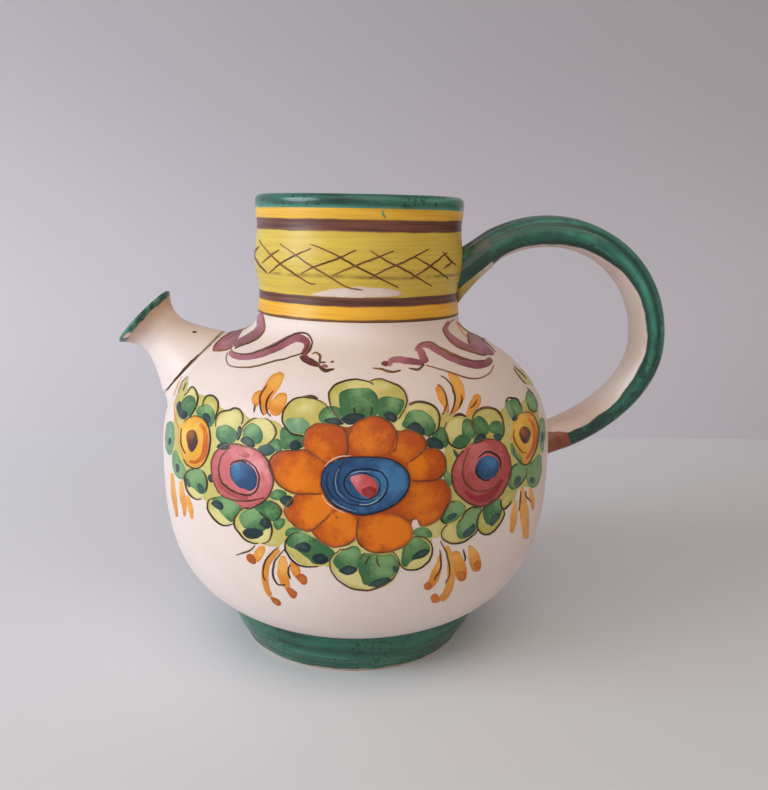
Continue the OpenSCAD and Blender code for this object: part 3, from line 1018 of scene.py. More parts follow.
@dataclass
class Spout:
    """The thrown trumpet and the collar of clay that beds it on the shoulder."""

    seam: Point3 = (-70.73, 0.0, 118.4)
    tilt: float = 43.61
    base: float = 18.6
    waist: float = 10.1
    waist_at: float = 17.3
    lip: float = 16.15
    length: float = 28.9
    wall: float = 3.8
    lip_edge: float = 2.0
    low_power: float = 1.35
    lip_power: float = 2.4
    port_radius: float = 14.2
    seam_groove: float = 0.35
    seam_rows: Point = (0.45, 0.6)
    tube_steps: int = 56
    turn_steps: int = 160
    bed: tuple[Point, ...] = (
        (18.6, -0.5), (18.85, -0.95), (19.4, -1.4), (20.1, -1.75), (20.9, -2.1), (21.8, -2.5), (22.8, -3.0),
        (23.8, -3.6), (24.8, -4.3),
    )
    bed_sink: float = 0.3
    bed_power: float = 1.5
    finish: Finish = field(default_factory=lambda: SpoutGlaze("spout_tin_glaze", (0.34, 0.5), 0.1, 0.3))

    def radius_at(self, s: float, wall: float = 0.0, lip_wall: float = 0.0) -> float:
        """Returns the radius at a distance from the seam, for the outside or the bore."""
        waist = self.waist - wall
        if s < self.waist_at:
            return waist + (self.base - self.waist) * (1 - s / self.waist_at) ** self.low_power
        part = (s - self.waist_at) / (self.length - self.waist_at)
        return waist + (self.lip - lip_wall - waist) * part**self.lip_power

    def stand(self, bm: Mesh) -> Mesh:
        """Marks each point with its distance from the seam and sets the mesh on the shoulder."""
        along = bm.verts.layers.float.new("along")
        for vert in bm.verts:
            vert[along] = vert.co.z
        turn = Matrix.Rotation(math.radians(self.tilt - 90), 4, "Y")
        bmesh.ops.transform(bm, matrix=Matrix.Translation(self.seam) @ turn, verts=bm.verts)
        return bm

    def port(self, belly_wall: float) -> Mesh:
        """Returns the cutter of the port in the belly's wall."""
        low, high = -3 * belly_wall, belly_wall
        outline = [(0.0, low), (self.port_radius, low), (self.port_radius, high), (0.0, high)]
        return self.stand(spun(outline, self.turn_steps, closed=False))

    def smooth_in(self, bm: Mesh, belly: Belly) -> Mesh:
        """Draws the bed's outside down on to the belly, so that it ends just under its skin."""
        axis = Matrix.Rotation(math.radians(self.tilt - 90), 3, "Y") @ Vector((0, 0, 1))
        first, last = self.bed[0][0], self.bed[-1][0]
        for vert in bm.verts:
            off = vert.co - Vector(self.seam)
            share = ((off - axis * off.dot(axis)).length - first) / (last - first)
            if share > 0:
                flat = Vector((vert.co.x, vert.co.y, 0.0))
                skin = belly.skin_at(vert.co.z)
                near = (1 - min(1.0, share)) ** self.bed_power
                gap = (flat.length - skin) * near - self.bed_sink * share
                vert.co += flat.normalized() * (skin + gap - flat.length)
        return bm

    def build(self, belly: Belly) -> list[Piece]:
        """Builds and dresses the trumpet and its bed.

        Args:
            belly: The globe that the bed lies on.

        Returns:
            The trumpet and the bed.
        """
        end = self.length - self.lip_edge / 2
        steps = [end * i / self.tube_steps for i in range(self.tube_steps + 1)]
        outside = [(self.radius_at(s), s) for s in steps]
        bore = [(self.radius_at(s, self.wall, self.lip_edge), s) for s in steps]
        middle = ((outside[-1][0] + bore[-1][0]) / 2, end)
        edge = arc(middle, (outside[-1][0] - bore[-1][0]) / 2, 0, 180)[1:-1]
        nick = (self.base - self.seam_groove, 0.0)
        first, kept_from = self.seam_rows
        outside = [nick, (self.radius_at(first), first), *[p for p in outside if p[1] > kept_from]]
        tube = self.stand(spun([*outside, *edge, *reversed(bore)], self.turn_steps, closed=True))
        bore_radius = self.base - self.wall
        bed = [nick, *self.bed, (bore_radius, self.bed[-1][1] - self.bed_sink), (bore_radius, 0.0)]
        seat = self.smooth_in(self.stand(spun(bed, self.turn_steps, closed=True)), belly)
        return [
            place(finished("spout", tube), self.finish, Slot.WHITE, "spout_tube"),
            place(finished("spout_bed", seat), self.finish, Slot.WHITE, "spout_seat"),
        ]


@dataclass
class Handle:
    """The pulled strap with its finger ribs, and the wad smoothed in under its upper root."""

    LAYERS: ClassVar[tuple[str, ...]] = ("cover", "root", "ridge", "length", "girth")
    thickness: float = 12.6
    top_width: float = 23.0
    low_width: float = 20.0
    top: Point = (43.65, 160.23)
    reach: Point = (125.2, 130.5)
    low: Point = (83.25, 86.6)
    top_angle: float = 46.0
    low_angle: float = 18.0
    pulls: tuple[float, ...] = (0.513, 0.496, 0.34, 0.34)
    plain: Point = (0.13, 0.9)
    power: float = 2.6
    rib: float = 0.45
    ribs: int = 3
    sink: float = 0.9
    sides: int = 84
    rows: int = 150
    root_rows: int = 14
    halvings: int = 30
    green_to: tuple[Point, ...] = (
        (0, 13.2), (0.05, 11.8), (0.09, 10.9), (0.17, 11.6), (0.25, 11.1), (0.42, 9.5), (0.5, 9.3),
        (0.6, 9.5), (0.68, 9.4), (0.75, 8.1), (0.81, 8.2), (0.86, 7.5), (0.92, 7.8), (0.96, 9.6), (1, 10.4),
    )
    ridges: tuple[float, ...] = (0.0, 0.115, 0.385, 0.5, 1.0)
    ridge_width: float = 0.022
    brushed_length: float = 144.0
    brushed_girth: float = 58.0
    brush_slant: float = 9.0
    wad_crease: float = 70.0
    finish: Finish = field(default_factory=lambda: StrapGlaze("strap_green_glaze", (0.13, 0.26)))
    wad_finish: Finish = field(default_factory=lambda: WadGlaze("wad_glaze", (0.3, 0.45)))

    def lines(self) -> tuple[list[Vector], list[Vector]]:
        """Returns the upper and lower curve of the strap's middle line."""
        top, out, low = Vector(self.top), Vector(self.reach), Vector(self.low)
        rise = Vector((math.cos(math.radians(self.top_angle)), math.sin(math.radians(self.top_angle))))
        fall = Vector((math.cos(math.radians(self.low_angle)), math.sin(math.radians(self.low_angle))))
        upper, lower, up = (out - top).length, (low - out).length, Vector((0, 1))
        return (
            [top, top + self.pulls[0] * upper * rise, out + self.pulls[1] * upper * up, out],
            [out, out - self.pulls[2] * lower * up, low + self.pulls[3] * lower * fall, low],
        )

    def middle(self, share: float) -> tuple[Vector, Vector]:
        """Returns the strap's middle and its way at a share of its two curves."""
        upper, lower = self.lines()
        line, t = (upper, 2 * share) if share < 0.5 else (lower, 2 * share - 1)
        return bezier(line, t), bezier_way(line, t)

    def section(self, turn: float, share: float) -> tuple[Point, float]:
        """Reads the strap's section.

        Args:
            turn: Share of the way round the section, from its back edge over the outer face.
            share: Share of the way along the strap.

        Returns:
            The offset outwards and along Y, and how far outwards the point lies from -1 to 1.
        """
        sine, cosine = math.sin(math.tau * turn), math.cos(math.tau * turn)
        across = math.copysign(abs(sine) ** (2 / self.power), sine)
        along = math.copysign(abs(cosine) ** (2 / self.power), cosine)
        width = self.top_width + (self.low_width - self.top_width) * share
        bump = self.rib * max(0.0, across) * math.cos(math.pi * self.ribs * along)
        return (self.thickness / 2 * across + bump, width / 2 * along), across

    def way_out(self, end: float) -> Vector:
        """Returns the way in which the strap leaves its root at one end, 0 or 1."""
        way = self.middle(end)[1]
        return -way if end else way

    def seated(self, at: Vector, way: Vector, wall: Wall) -> Vector:
        """Slides a point of a root along its way until it lies just inside a wall."""
        low, high = -2 * self.thickness, 2 * self.thickness
        for _ in range(self.halvings):
            half = (low + high) / 2
            tried = at + half * Vector((way.x, 0.0, way.y))
            outside = math.hypot(tried.x, tried.y) > wall(tried.z) - self.sink
            low, high = (low, half) if outside else (half, high)
        return at + low * Vector((way.x, 0.0, way.y))

    def ring_point(self, turn: float, share: float) -> tuple[Vector, float]:
        """Returns a point of the plain strap's skin and how far outwards it lies."""
        middle, way = self.middle(share)
        (out, side), across = self.section(turn, share)
        return Vector((middle.x - out * way.y, side, middle.y + out * way.x)), across

    def root_point(
        self, turn: float, end: float, plain_at: float, part: float, wall: Wall
    ) -> tuple[Vector, float]:
        """Reads the skin of a root.

        Args:
            turn: Share of the way round the section.
            end: Share along the strap at which the root ends, 0 or 1.
            plain_at: Share along the strap at which it is plain.
            part: Share of the way from the wall to the plain strap.
            wall: Radius of the wall that takes the root, by height.

        Returns:
            The point, and how far outwards it lies from -1 to 1.
        """
        start = self.seated(self.ring_point(turn, end)[0], self.way_out(end), wall)
        plain, across = self.ring_point(turn, plain_at)
        return start.lerp(plain, part), across

    def marks(self, turn: float, share: float, across: float) -> dict[str, float]:
        """Returns the values by which the glaze finds a point of the strap's skin."""
        near = min(abs(turn - ridge) for ridge in self.ridges) / self.ridge_width
        slant = self.brush_slant * math.sin(math.tau * turn)
        return {
            "cover": eased(self.green_to, share) - (1 - across) / 2 * self.thickness,
            "root": (1 - share) * self.brushed_length,
            "ridge": math.exp(-(near**2)),
            "length": share * self.brushed_length + slant,
            "girth": self.brushed_girth * abs(turn - 0.5),
        }

    def strap(self, neck: NeckCollar, belly: Belly) -> Piece:
        """Builds and dresses the strap, with its roots on the neck and on the belly."""
        first, last = self.plain[0] / 2, (1 + self.plain[1]) / 2
        total = self.rows + 2 * self.root_rows
        bm = bmesh.new()
        bmesh.ops.create_grid(bm, x_segments=self.sides, y_segments=total + 2, size=1.0)
        layers = {name: bm.verts.layers.float.new(name) for name in self.LAYERS}
        bm.verts.ensure_lookup_table()
        for vert in bm.verts:
            row, column = divmod(vert.index, self.sides + 1)
            turn = column / self.sides
            step = min(max(row - 1, 0), total)
            if step < self.root_rows:
                part = step / self.root_rows
                share = first * part
                vert.co, across = self.root_point(turn, 0.0, first, part, neck.radius_at)
            elif step > total - self.root_rows:
                part = (total - step) / self.root_rows
                share = 1 - (1 - last) * part
                vert.co, across = self.root_point(turn, 1.0, last, part, belly.radius_at)
            else:
                share = first + (last - first) * (step - self.root_rows) / self.rows
                vert.co, across = self.ring_point(turn, share)
            if row in (0, total + 2):
                end, wall = (0.0, neck.radius_at) if row == 0 else (1.0, belly.radius_at)
                x, z = self.low if end else self.top
                vert.co = self.seated(Vector((x, 0.0, z)), self.way_out(end), wall)
            for name, value in self.marks(turn, share, across).items():
                vert[layers[name]] = value
        bmesh.ops.remove_doubles(bm, verts=bm.verts, dist=1e-4)
        return place(finished("strap", bm), self.finish, Slot.GREEN, "handle_strap")

    def wad(self) -> Piece:
        """Builds and dresses the wad, on the frame's own shape."""
        bm = bmesh.new()
        bm.from_mesh(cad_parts["handle_top_wad"].data)
        bmesh.ops.remove_doubles(bm, verts=bm.verts, dist=1e-6)
        bmesh.ops.scale(bm, vec=(1 / MM,) * 3, verts=bm.verts)
        made = finished("strap_wad", bm, self.wad_crease)
        return place(made, self.wad_finish, Slot.WHITE, "handle_top_wad")

    def build(self, neck: NeckCollar, belly: Belly) -> list[Piece]:
        """Builds and dresses the strap and its wad.

        Args:
            neck: The collar that takes the upper root.
            belly: The globe that takes the lower root.

        Returns:
            The strap and the wad.
        """
        return [self.strap(neck, belly), self.wad()]


class Pigment(Enum):
    """The colours on the potter's palette."""

    WASH = "wash"
    LEAF = "leaf"
    GREEN = "green"
    PALE = "pale"
    DARK = "dark"
    PETAL = "petal"
    BLUE = "blue"
    CORE = "core"
    CRIMSON = "crimson"
    MADDER = "madder"
    GROUND = "ground"
    ROSE = "rose"
    YELLOW = "yellow"
    ORANGE = "orange"
    UMBER = "umber"
    SPRIG = "sprig"
    TIP = "tip"
    MAUVE = "mauve"
    PLUM = "plum"
    # Mist is a pale line colour; beside the incised spiral it is partly painted highlight.
    MIST = "mist"
    MILK = "milk"
    NAVY = "navy"
    LINE = "line"
    SEPIA = "sepia"


@dataclass(frozen=True)
class Paint(Finish):
    """A colour laid with a loaded brush, at its own level above the white glaze."""

    PIN: ClassVar[Colour] = (0.03, 0.022, 0.02)
    PIN_SHARE: ClassVar[float] = 0.6
    light: Colour = (0.8, 0.8, 0.8)
    deep: Colour = (0.4, 0.4, 0.4)
    pool: Colour = (0.2, 0.2, 0.2)
    level: float = 0.05

    def colour(self, w: Wiring, skin: Node) -> Socket:
        """Wires the colour of the finish and returns it."""
        mark = w.group("brushwork")
        for label in ("Glow", "Edge", "Tone"):
            w.feed(mark.inputs[label], w.reading(label.lower()))
        for label, colour in (("Light", self.light), ("Deep", self.deep), ("Pool", self.pool)):
            w.feed(mark.inputs[label], colour)
        dots = w.times(skin.outputs["Speck"], self.PIN_SHARE)
        return w.blend(dots, mark.outputs["Color"], self.PIN)


def paint(name: str, level: float, light: Colour, deep: Colour, pool: Colour) -> Paint:
    """Returns a colour of the palette."""
    return Paint(f"{name}_paint", (0.28, 0.42), 0.12, 0.25, light, deep, pool, level)


PALETTE: dict[Pigment, Paint] = {
    Pigment.WASH: paint("wash", 0.015, (0.70, 0.64, 0.30), (0.55, 0.49, 0.14), (0.50, 0.45, 0.12)),
    Pigment.LEAF: paint("leaf", 0.042, (0.70, 0.63, 0.26), (0.51, 0.45, 0.11), (0.42, 0.38, 0.08)),
    Pigment.GROUND: paint("ground", 0.042, (0.46, 0.09, 0.006), (0.38, 0.065, 0.006), (0.34, 0.06, 0.006)),
    Pigment.SPRIG: paint("sprig", 0.070, (0.84, 0.42, 0.085), (0.68, 0.245, 0.030), (0.54, 0.155, 0.022)),
    Pigment.MAUVE: paint("mauve", 0.070, (0.44, 0.17, 0.21), (0.25, 0.075, 0.095), (0.17, 0.045, 0.058)),
    Pigment.PALE: paint("pale", 0.076, (0.33, 0.49, 0.30), (0.15, 0.30, 0.16), (0.12, 0.26, 0.13)),
    Pigment.GREEN: paint("green", 0.076, (0.20, 0.37, 0.15), (0.045, 0.15, 0.055), (0.030, 0.11, 0.05)),
    Pigment.YELLOW: paint("yellow", 0.090, (0.88, 0.56, 0.10), (0.74, 0.36, 0.03), (0.60, 0.24, 0.02)),
    Pigment.ROSE: paint("rose", 0.090, (0.77, 0.32, 0.34), (0.57, 0.14, 0.145), (0.44, 0.08, 0.085)),
    Pigment.PETAL: paint("petal", 0.090, (0.76, 0.20, 0.007), (0.46, 0.075, 0.006), (0.33, 0.05, 0.008)),
    Pigment.TIP: paint("tip", 0.100, (0.62, 0.18, 0.022), (0.42, 0.09, 0.012), (0.34, 0.06, 0.01)),
    Pigment.PLUM: paint("plum", 0.100, (0.26, 0.08, 0.09), (0.12, 0.03, 0.038), (0.09, 0.02, 0.025)),
    Pigment.MADDER: paint("madder", 0.106, (0.62, 0.17, 0.165), (0.42, 0.075, 0.07), (0.40, 0.07, 0.065)),
    Pigment.ORANGE: paint("orange", 0.106, (0.74, 0.24, 0.012), (0.54, 0.11, 0.006), (0.45, 0.085, 0.01)),
    Pigment.DARK: paint("dark", 0.112, (0.048, 0.105, 0.090), (0.013, 0.028, 0.032), (0.018, 0.045, 0.040)),
    Pigment.UMBER: paint("umber", 0.136, (0.34, 0.11, 0.03), (0.075, 0.024, 0.026), (0.04, 0.014, 0.012)),
    Pigment.BLUE: paint("blue", 0.136, (0.060, 0.20, 0.42), (0.021, 0.070, 0.17), (0.012, 0.032, 0.09)),
    Pigment.CORE: paint("core", 0.158, (0.76, 0.25, 0.25), (0.54, 0.085, 0.09), (0.44, 0.04, 0.045)),
    Pigment.CRIMSON: paint("crimson", 0.176, (0.4, 0.05, 0.055), (0.27, 0.022, 0.026), (0.24, 0.018, 0.022)),
    # Mist: pale lines beside the incised spiral, partly scraped glaze and partly painted highlight.
    Pigment.MIST: paint("mist", 0.190, (0.42, 0.52, 0.58), (0.22, 0.34, 0.44), (0.24, 0.36, 0.46)),
    # Milk: white glaze for a bare patch; beside the incised spiral it is also partly painted highlight.
    Pigment.MILK: paint("milk", 0.192, (0.80, 0.69, 0.64), (0.74, 0.60, 0.53), (0.66, 0.50, 0.41)),
    Pigment.NAVY: paint("navy", 0.204, (0.018, 0.024, 0.045), (0.006, 0.007, 0.013), (0.006, 0.007, 0.013)),
    Pigment.SEPIA: paint("sepia", 0.206, (0.27, 0.125, 0.050), (0.098, 0.040, 0.017), (0.09, 0.036, 0.016)),
    Pigment.LINE: paint("line", 0.210, (0.16, 0.080, 0.034), (0.030, 0.017, 0.011), (0.030, 0.017, 0.011)),
}


@dataclass(frozen=True)
class Dab:
    """A filled brush mark: its outline, columns and rows by turns, and where its colour is thinnest."""

    pigment: Pigment
    outline: tuple[float, ...]
    glow: Point | None = None


@dataclass(frozen=True)
class Stroke:
    """A drawn mark: its path, columns and rows by turns, and its width at start, middle and end."""

    pigment: Pigment
    path: tuple[float, ...]
    widths: Point3 = (0.9, 1.7, 0.9)


@dataclass(frozen=True)
class Motif:
    """A group of marks that belong together."""

    dabs: tuple[Dab, ...] = ()
    strokes: tuple[Stroke, ...] = ()
    both_sides: bool = True


def shaken(at: Vector, reach: float = 0.45, pace: float = 0.21, layer: float = 0.7) -> Vector:
    """Returns a point of a mark with the slight shake of a hand."""
    return at + reach * noise.noise_vector(Vector((pace * at.x, pace * at.y, layer))).xy


def through(run: Sequence[float], closed: bool, step: float) -> list[Vector]:
    """Draws a smooth curve through points, with the slight shake of a hand.

    Args:
        run: Columns and rows of the points by turns, in pixels.
        closed: Whether the curve returns to its first point.
        step: Distance between the curve's samples.

    Returns:
        The samples, without the repeated first point of a closed curve.
    """
    knots = [Vector(pair) for pair in zip(run[::2], run[1::2])]
    count = len(knots)
    made = []
    for i in range(count if closed else count - 1):
        if closed:
            a, b, c, d = (knots[(i + k) % count] for k in (-1, 0, 1, 2))
        else:
            b, c = knots[i], knots[i + 1]
            a = knots[i - 1] if i else 2 * b - c
            d = knots[i + 2] if i + 2 < count else 2 * c - b
        parts = max(2, math.ceil((c - b).length / step))
        for k in range(parts):
            t = k / parts
            bend = (2 * a - 5 * b + 4 * c - d) * t * t + (3 * b - a - 3 * c + d) * t * t * t
            made.append((2 * b + (c - a) * t + bend) / 2)
    if not closed:
        made.append(knots[-1])
    return [shaken(at) for at in made]


class Painter:
    """Lays marks on the jug's skin along the photograph's lines of sight."""

    SUNK = -0.05
    BURIED = -0.4
    STACK = 0.0008
    GROWTH = 0.7
    LOADED: ClassVar[dict[Pigment, float]] = {Pigment.GREEN: 1.7, Pigment.DARK: 0.2}
    SPREAD = 1.3
    LONGEST = 2.4
    SPLITS = 3
    STEP = 2.2
    ROW = 3.6
    EDGE = 1.1
    EDGE_SHARE = 0.3
    WIDE_FROM = 4.0
    WIDE = (-1, -0.85, -0.45, 0, 0.45, 0.85, 1, None)
    THIN = (-1, -0.7, 0.7, 1, None)
    TIP = (0.6, 0.5)
    NECK_ROW = 300
    MIDDLE = (360.0, 470.0)
    TRIES = 24
    TRY_STEP = 0.5
    STACKED = 8
    TONE_PACE = (7.31, 1.7)
    TONE_LAYER = 0.5
    DAB_GLOW = (0.25, 0.45)
    STROKE_GLOW = (0.15, 0.7)
    THIN_EDGE = 0.3
    MERGE = 1e-5
    LAYERS = ("glow", "edge", "tone", "lift")

    def __init__(self, camera: PhotoCamera, pieces: Iterable[Piece]) -> None:
        """Takes the camera and the pieces to paint on."""
        self.camera = camera
        self.eye = Vector(camera.place)
        corners: list[Vector] = []
        faces: list[list[int]] = []
        for piece in pieces:
            start = len(corners)
            corners += [v.co / MM for v in piece.data.vertices]
            faces += [[start + i for i in p.vertices] for p in piece.data.polygons]
        self.skin = BVHTree.FromPolygons(corners, faces)
        self.sheets: dict[Pigment, Mesh] = {}
        self.counts: dict[Pigment, int] = {}

    def touch(self, pixel: Vector) -> tuple[Vector, Vector]:
        """Finds the jug's skin at a pixel.

        Args:
            pixel: Column and row in the photograph; one beside the jug moves in to its edge.

        Returns:
            The place in millimetres and the skin's normal there.
        """
        column, row = self.MIDDLE
        middle = Vector((column, pixel.y if pixel.y < self.NECK_ROW else row))
        inwards = (middle - pixel).normalized()
        for shift in range(self.TRIES):
            sight = self.camera.ray(pixel + self.TRY_STEP * shift * inwards)
            spot, normal, _, _ = self.skin.ray_cast(self.eye, sight)
            if spot is not None:
                return spot, normal
        raise ValueError(f"no skin at pixel {tuple(pixel)}")

    def sheet(self, pigment: Pigment) -> tuple[Mesh, dict[str, object], float, float]:
        """Returns a pigment's mesh, its value layers, the next mark's level and the mark's own tone."""
        if pigment not in self.sheets:
            made = bmesh.new()
            for name in self.LAYERS:
                made.verts.layers.float.new(name)
            self.sheets[pigment], self.counts[pigment] = made, 0
        bm = self.sheets[pigment]
        self.counts[pigment] += 1
        number = self.counts[pigment]
        layers = {name: bm.verts.layers.float[name] for name in self.LAYERS}
        level = PALETTE[pigment].level + self.STACK * (number % self.STACKED)
        seed = Vector((*(number * pace for pace in self.TONE_PACE), self.TONE_LAYER))
        return bm, layers, level, noise.noise(seed)

    def fill(self, dab: Dab) -> None:
        """Lays a filled mark as a thin lens with its edge under the glaze."""
        ring = through(dab.outline, True, self.STEP)
        middle = sum(ring, Vector((0.0, 0.0))) / len(ring)
        growth = self.LOADED.get(dab.pigment, self.GROWTH)
        ring = [p + (p - middle).normalized() * growth for p in ring]
        reach = max((p - middle).length for p in ring)
        shares = max(2, math.ceil(reach / self.ROW))
        inner = 1 - min(self.EDGE_SHARE, self.EDGE / reach)
        rows = [inner * i / shares for i in range(shares + 1)] + [1.0, 0.0]
        bm, layers, level, tone = self.sheet(dab.pigment)
        grid = bmesh.ops.create_grid(bm, x_segments=len(ring), y_segments=len(rows) - 1, size=1.0)
        made = grid["verts"]
        glow = Vector(dab.glow) if dab.glow else None
        far = max((p - glow).length for p in ring) if glow else 1.0
        known: dict[tuple[int, int], tuple[Vector, Vector]] = {}
        for index, vert in enumerate(made):
            row, column = divmod(index, len(ring) + 1)
            share = rows[row]
            key = (row, column % len(ring)) if share else (0, 0)
            at = middle.lerp(ring[column % len(ring)], share)
            if key not in known:
                known[key] = self.touch(at)
            spot, normal = known[key]
            lift = level if row <= shares else self.SUNK if share else self.BURIED
            vert.co = spot + normal * lift
            vert[layers["lift"]] = lift
            vert[layers["edge"]] = share if row <= shares + 1 else 1.0
            plain = self.DAB_GLOW[0] + self.DAB_GLOW[1] * share
            vert[layers["glow"]] = (at - glow).length / far if glow else plain
            vert[layers["tone"]] = tone
        bmesh.ops.remove_doubles(bm, verts=made, dist=self.MERGE)

    def draw(self, stroke: Stroke) -> None:
        """Lays a drawn mark as a thin ridge with its edges under the glaze."""
        path = through(stroke.path, False, self.STEP)
        wide = max(stroke.widths) > self.WIDE_FROM
        columns = self.WIDE if wide else self.THIN
        run = [0.0]
        for a, b in zip(path, path[1:]):
            run.append(run[-1] + (b - a).length)
        start, middle, end = (w if wide else w * self.SPREAD for w in stroke.widths)
        bm, layers, level, tone = self.sheet(stroke.pigment)
        grid = bmesh.ops.create_grid(bm, x_segments=len(columns), y_segments=len(path) - 1, size=1.0)
        made = grid["verts"]
        for index, vert in enumerate(made):
            row, column = divmod(index, len(columns) + 1)
            offset = columns[column % len(columns)]
            share = run[row] / run[-1]
            width = eased(((0, start), (0.5, middle), (1, end)), share)
            near = min(run[row], run[-1] - run[row]) / max(self.TIP[0] * width, self.TIP[1])
            width *= math.sqrt(max(0.0, 1 - (1 - min(1.0, near)) ** 2))
            ahead = path[min(row + 1, len(path) - 1)] - path[max(row - 1, 0)]
            side = Vector((-ahead.y, ahead.x)).normalized()
            tip = row in (0, len(path) - 1)
            spot, normal = self.touch(path[row] + side * (0.5 * width * (offset or 0.0)) * (not tip))
            flat = tip or offset is None or abs(offset) == 1
            lift = self.BURIED if offset is None and not tip else self.SUNK if flat else level
            vert.co = spot + normal * lift
            vert[layers["lift"]] = lift
            vert[layers["edge"]] = abs(offset or 0.0) if wide else self.THIN_EDGE
            vert[layers["glow"]] = self.STROKE_GLOW[0] + self.STROKE_GLOW[1] * share
            vert[layers["tone"]] = tone
        bmesh.ops.remove_doubles(bm, verts=made, dist=self.MERGE)

    def apply(self, motifs: Iterable[Motif]) -> None:
        """Lays every mark of some motifs, in order, and repeats those of both sides at the back."""
        for motif in motifs:
            before = {pigment: len(bm.verts) for pigment, bm in self.sheets.items()}
            for dab in motif.dabs:
                self.fill(dab)
            for stroke in motif.strokes:
                self.draw(stroke)
            if motif.both_sides:
                self.repeat(before)

    def repeat(self, before: dict[Pigment, int]) -> None:
        """Repeats the marks made since a count of vertices, half a turn round the jug."""
        half_turn = Matrix.Rotation(math.pi, 3, "Z")
        for pigment, bm in self.sheets.items():
            bm.verts.ensure_lookup_table()
            fresh = bm.verts[before.get(pigment, 0) :]
            if not fresh:
                continue
            faces = list(dict.fromkeys(face for vert in fresh for face in vert.link_faces))
            copied = bmesh.ops.duplicate(bm, geom=faces)["geom"]
            corners = [part for part in copied if isinstance(part, bmesh.types.BMVert)]
            bmesh.ops.rotate(bm, cent=(0, 0, 0), matrix=half_turn, verts=corners)

    def settle(self, bm: Mesh) -> None:
        """Splits the long edges of some marks and sets each point at its own height over the skin."""
        lift = bm.verts.layers.float["lift"]
        for _ in range(self.SPLITS):
            shown = [e for e in bm.edges if min(v[lift] for v in e.verts) > self.BURIED / 2]
            long = [edge for edge in shown if edge.calc_length() > self.LONGEST]
            bmesh.ops.subdivide_edges(bm, edges=long, cuts=1, use_grid_fill=True)
        for vert in bm.verts:
            spot, normal, _, _ = self.skin.find_nearest(vert.co)
            vert.co = spot + normal * vert[lift]

    def finish(self) -> None:
        """Turns each pigment's marks into one dressed piece."""
        for pigment, bm in self.sheets.items():
            self.settle(bm)
            place(finished(f"painted_{pigment.value}", bm), PALETTE[pigment], Slot.WHITE)
            LOG.info("%s: %d marks", pigment.value, self.counts[pigment])


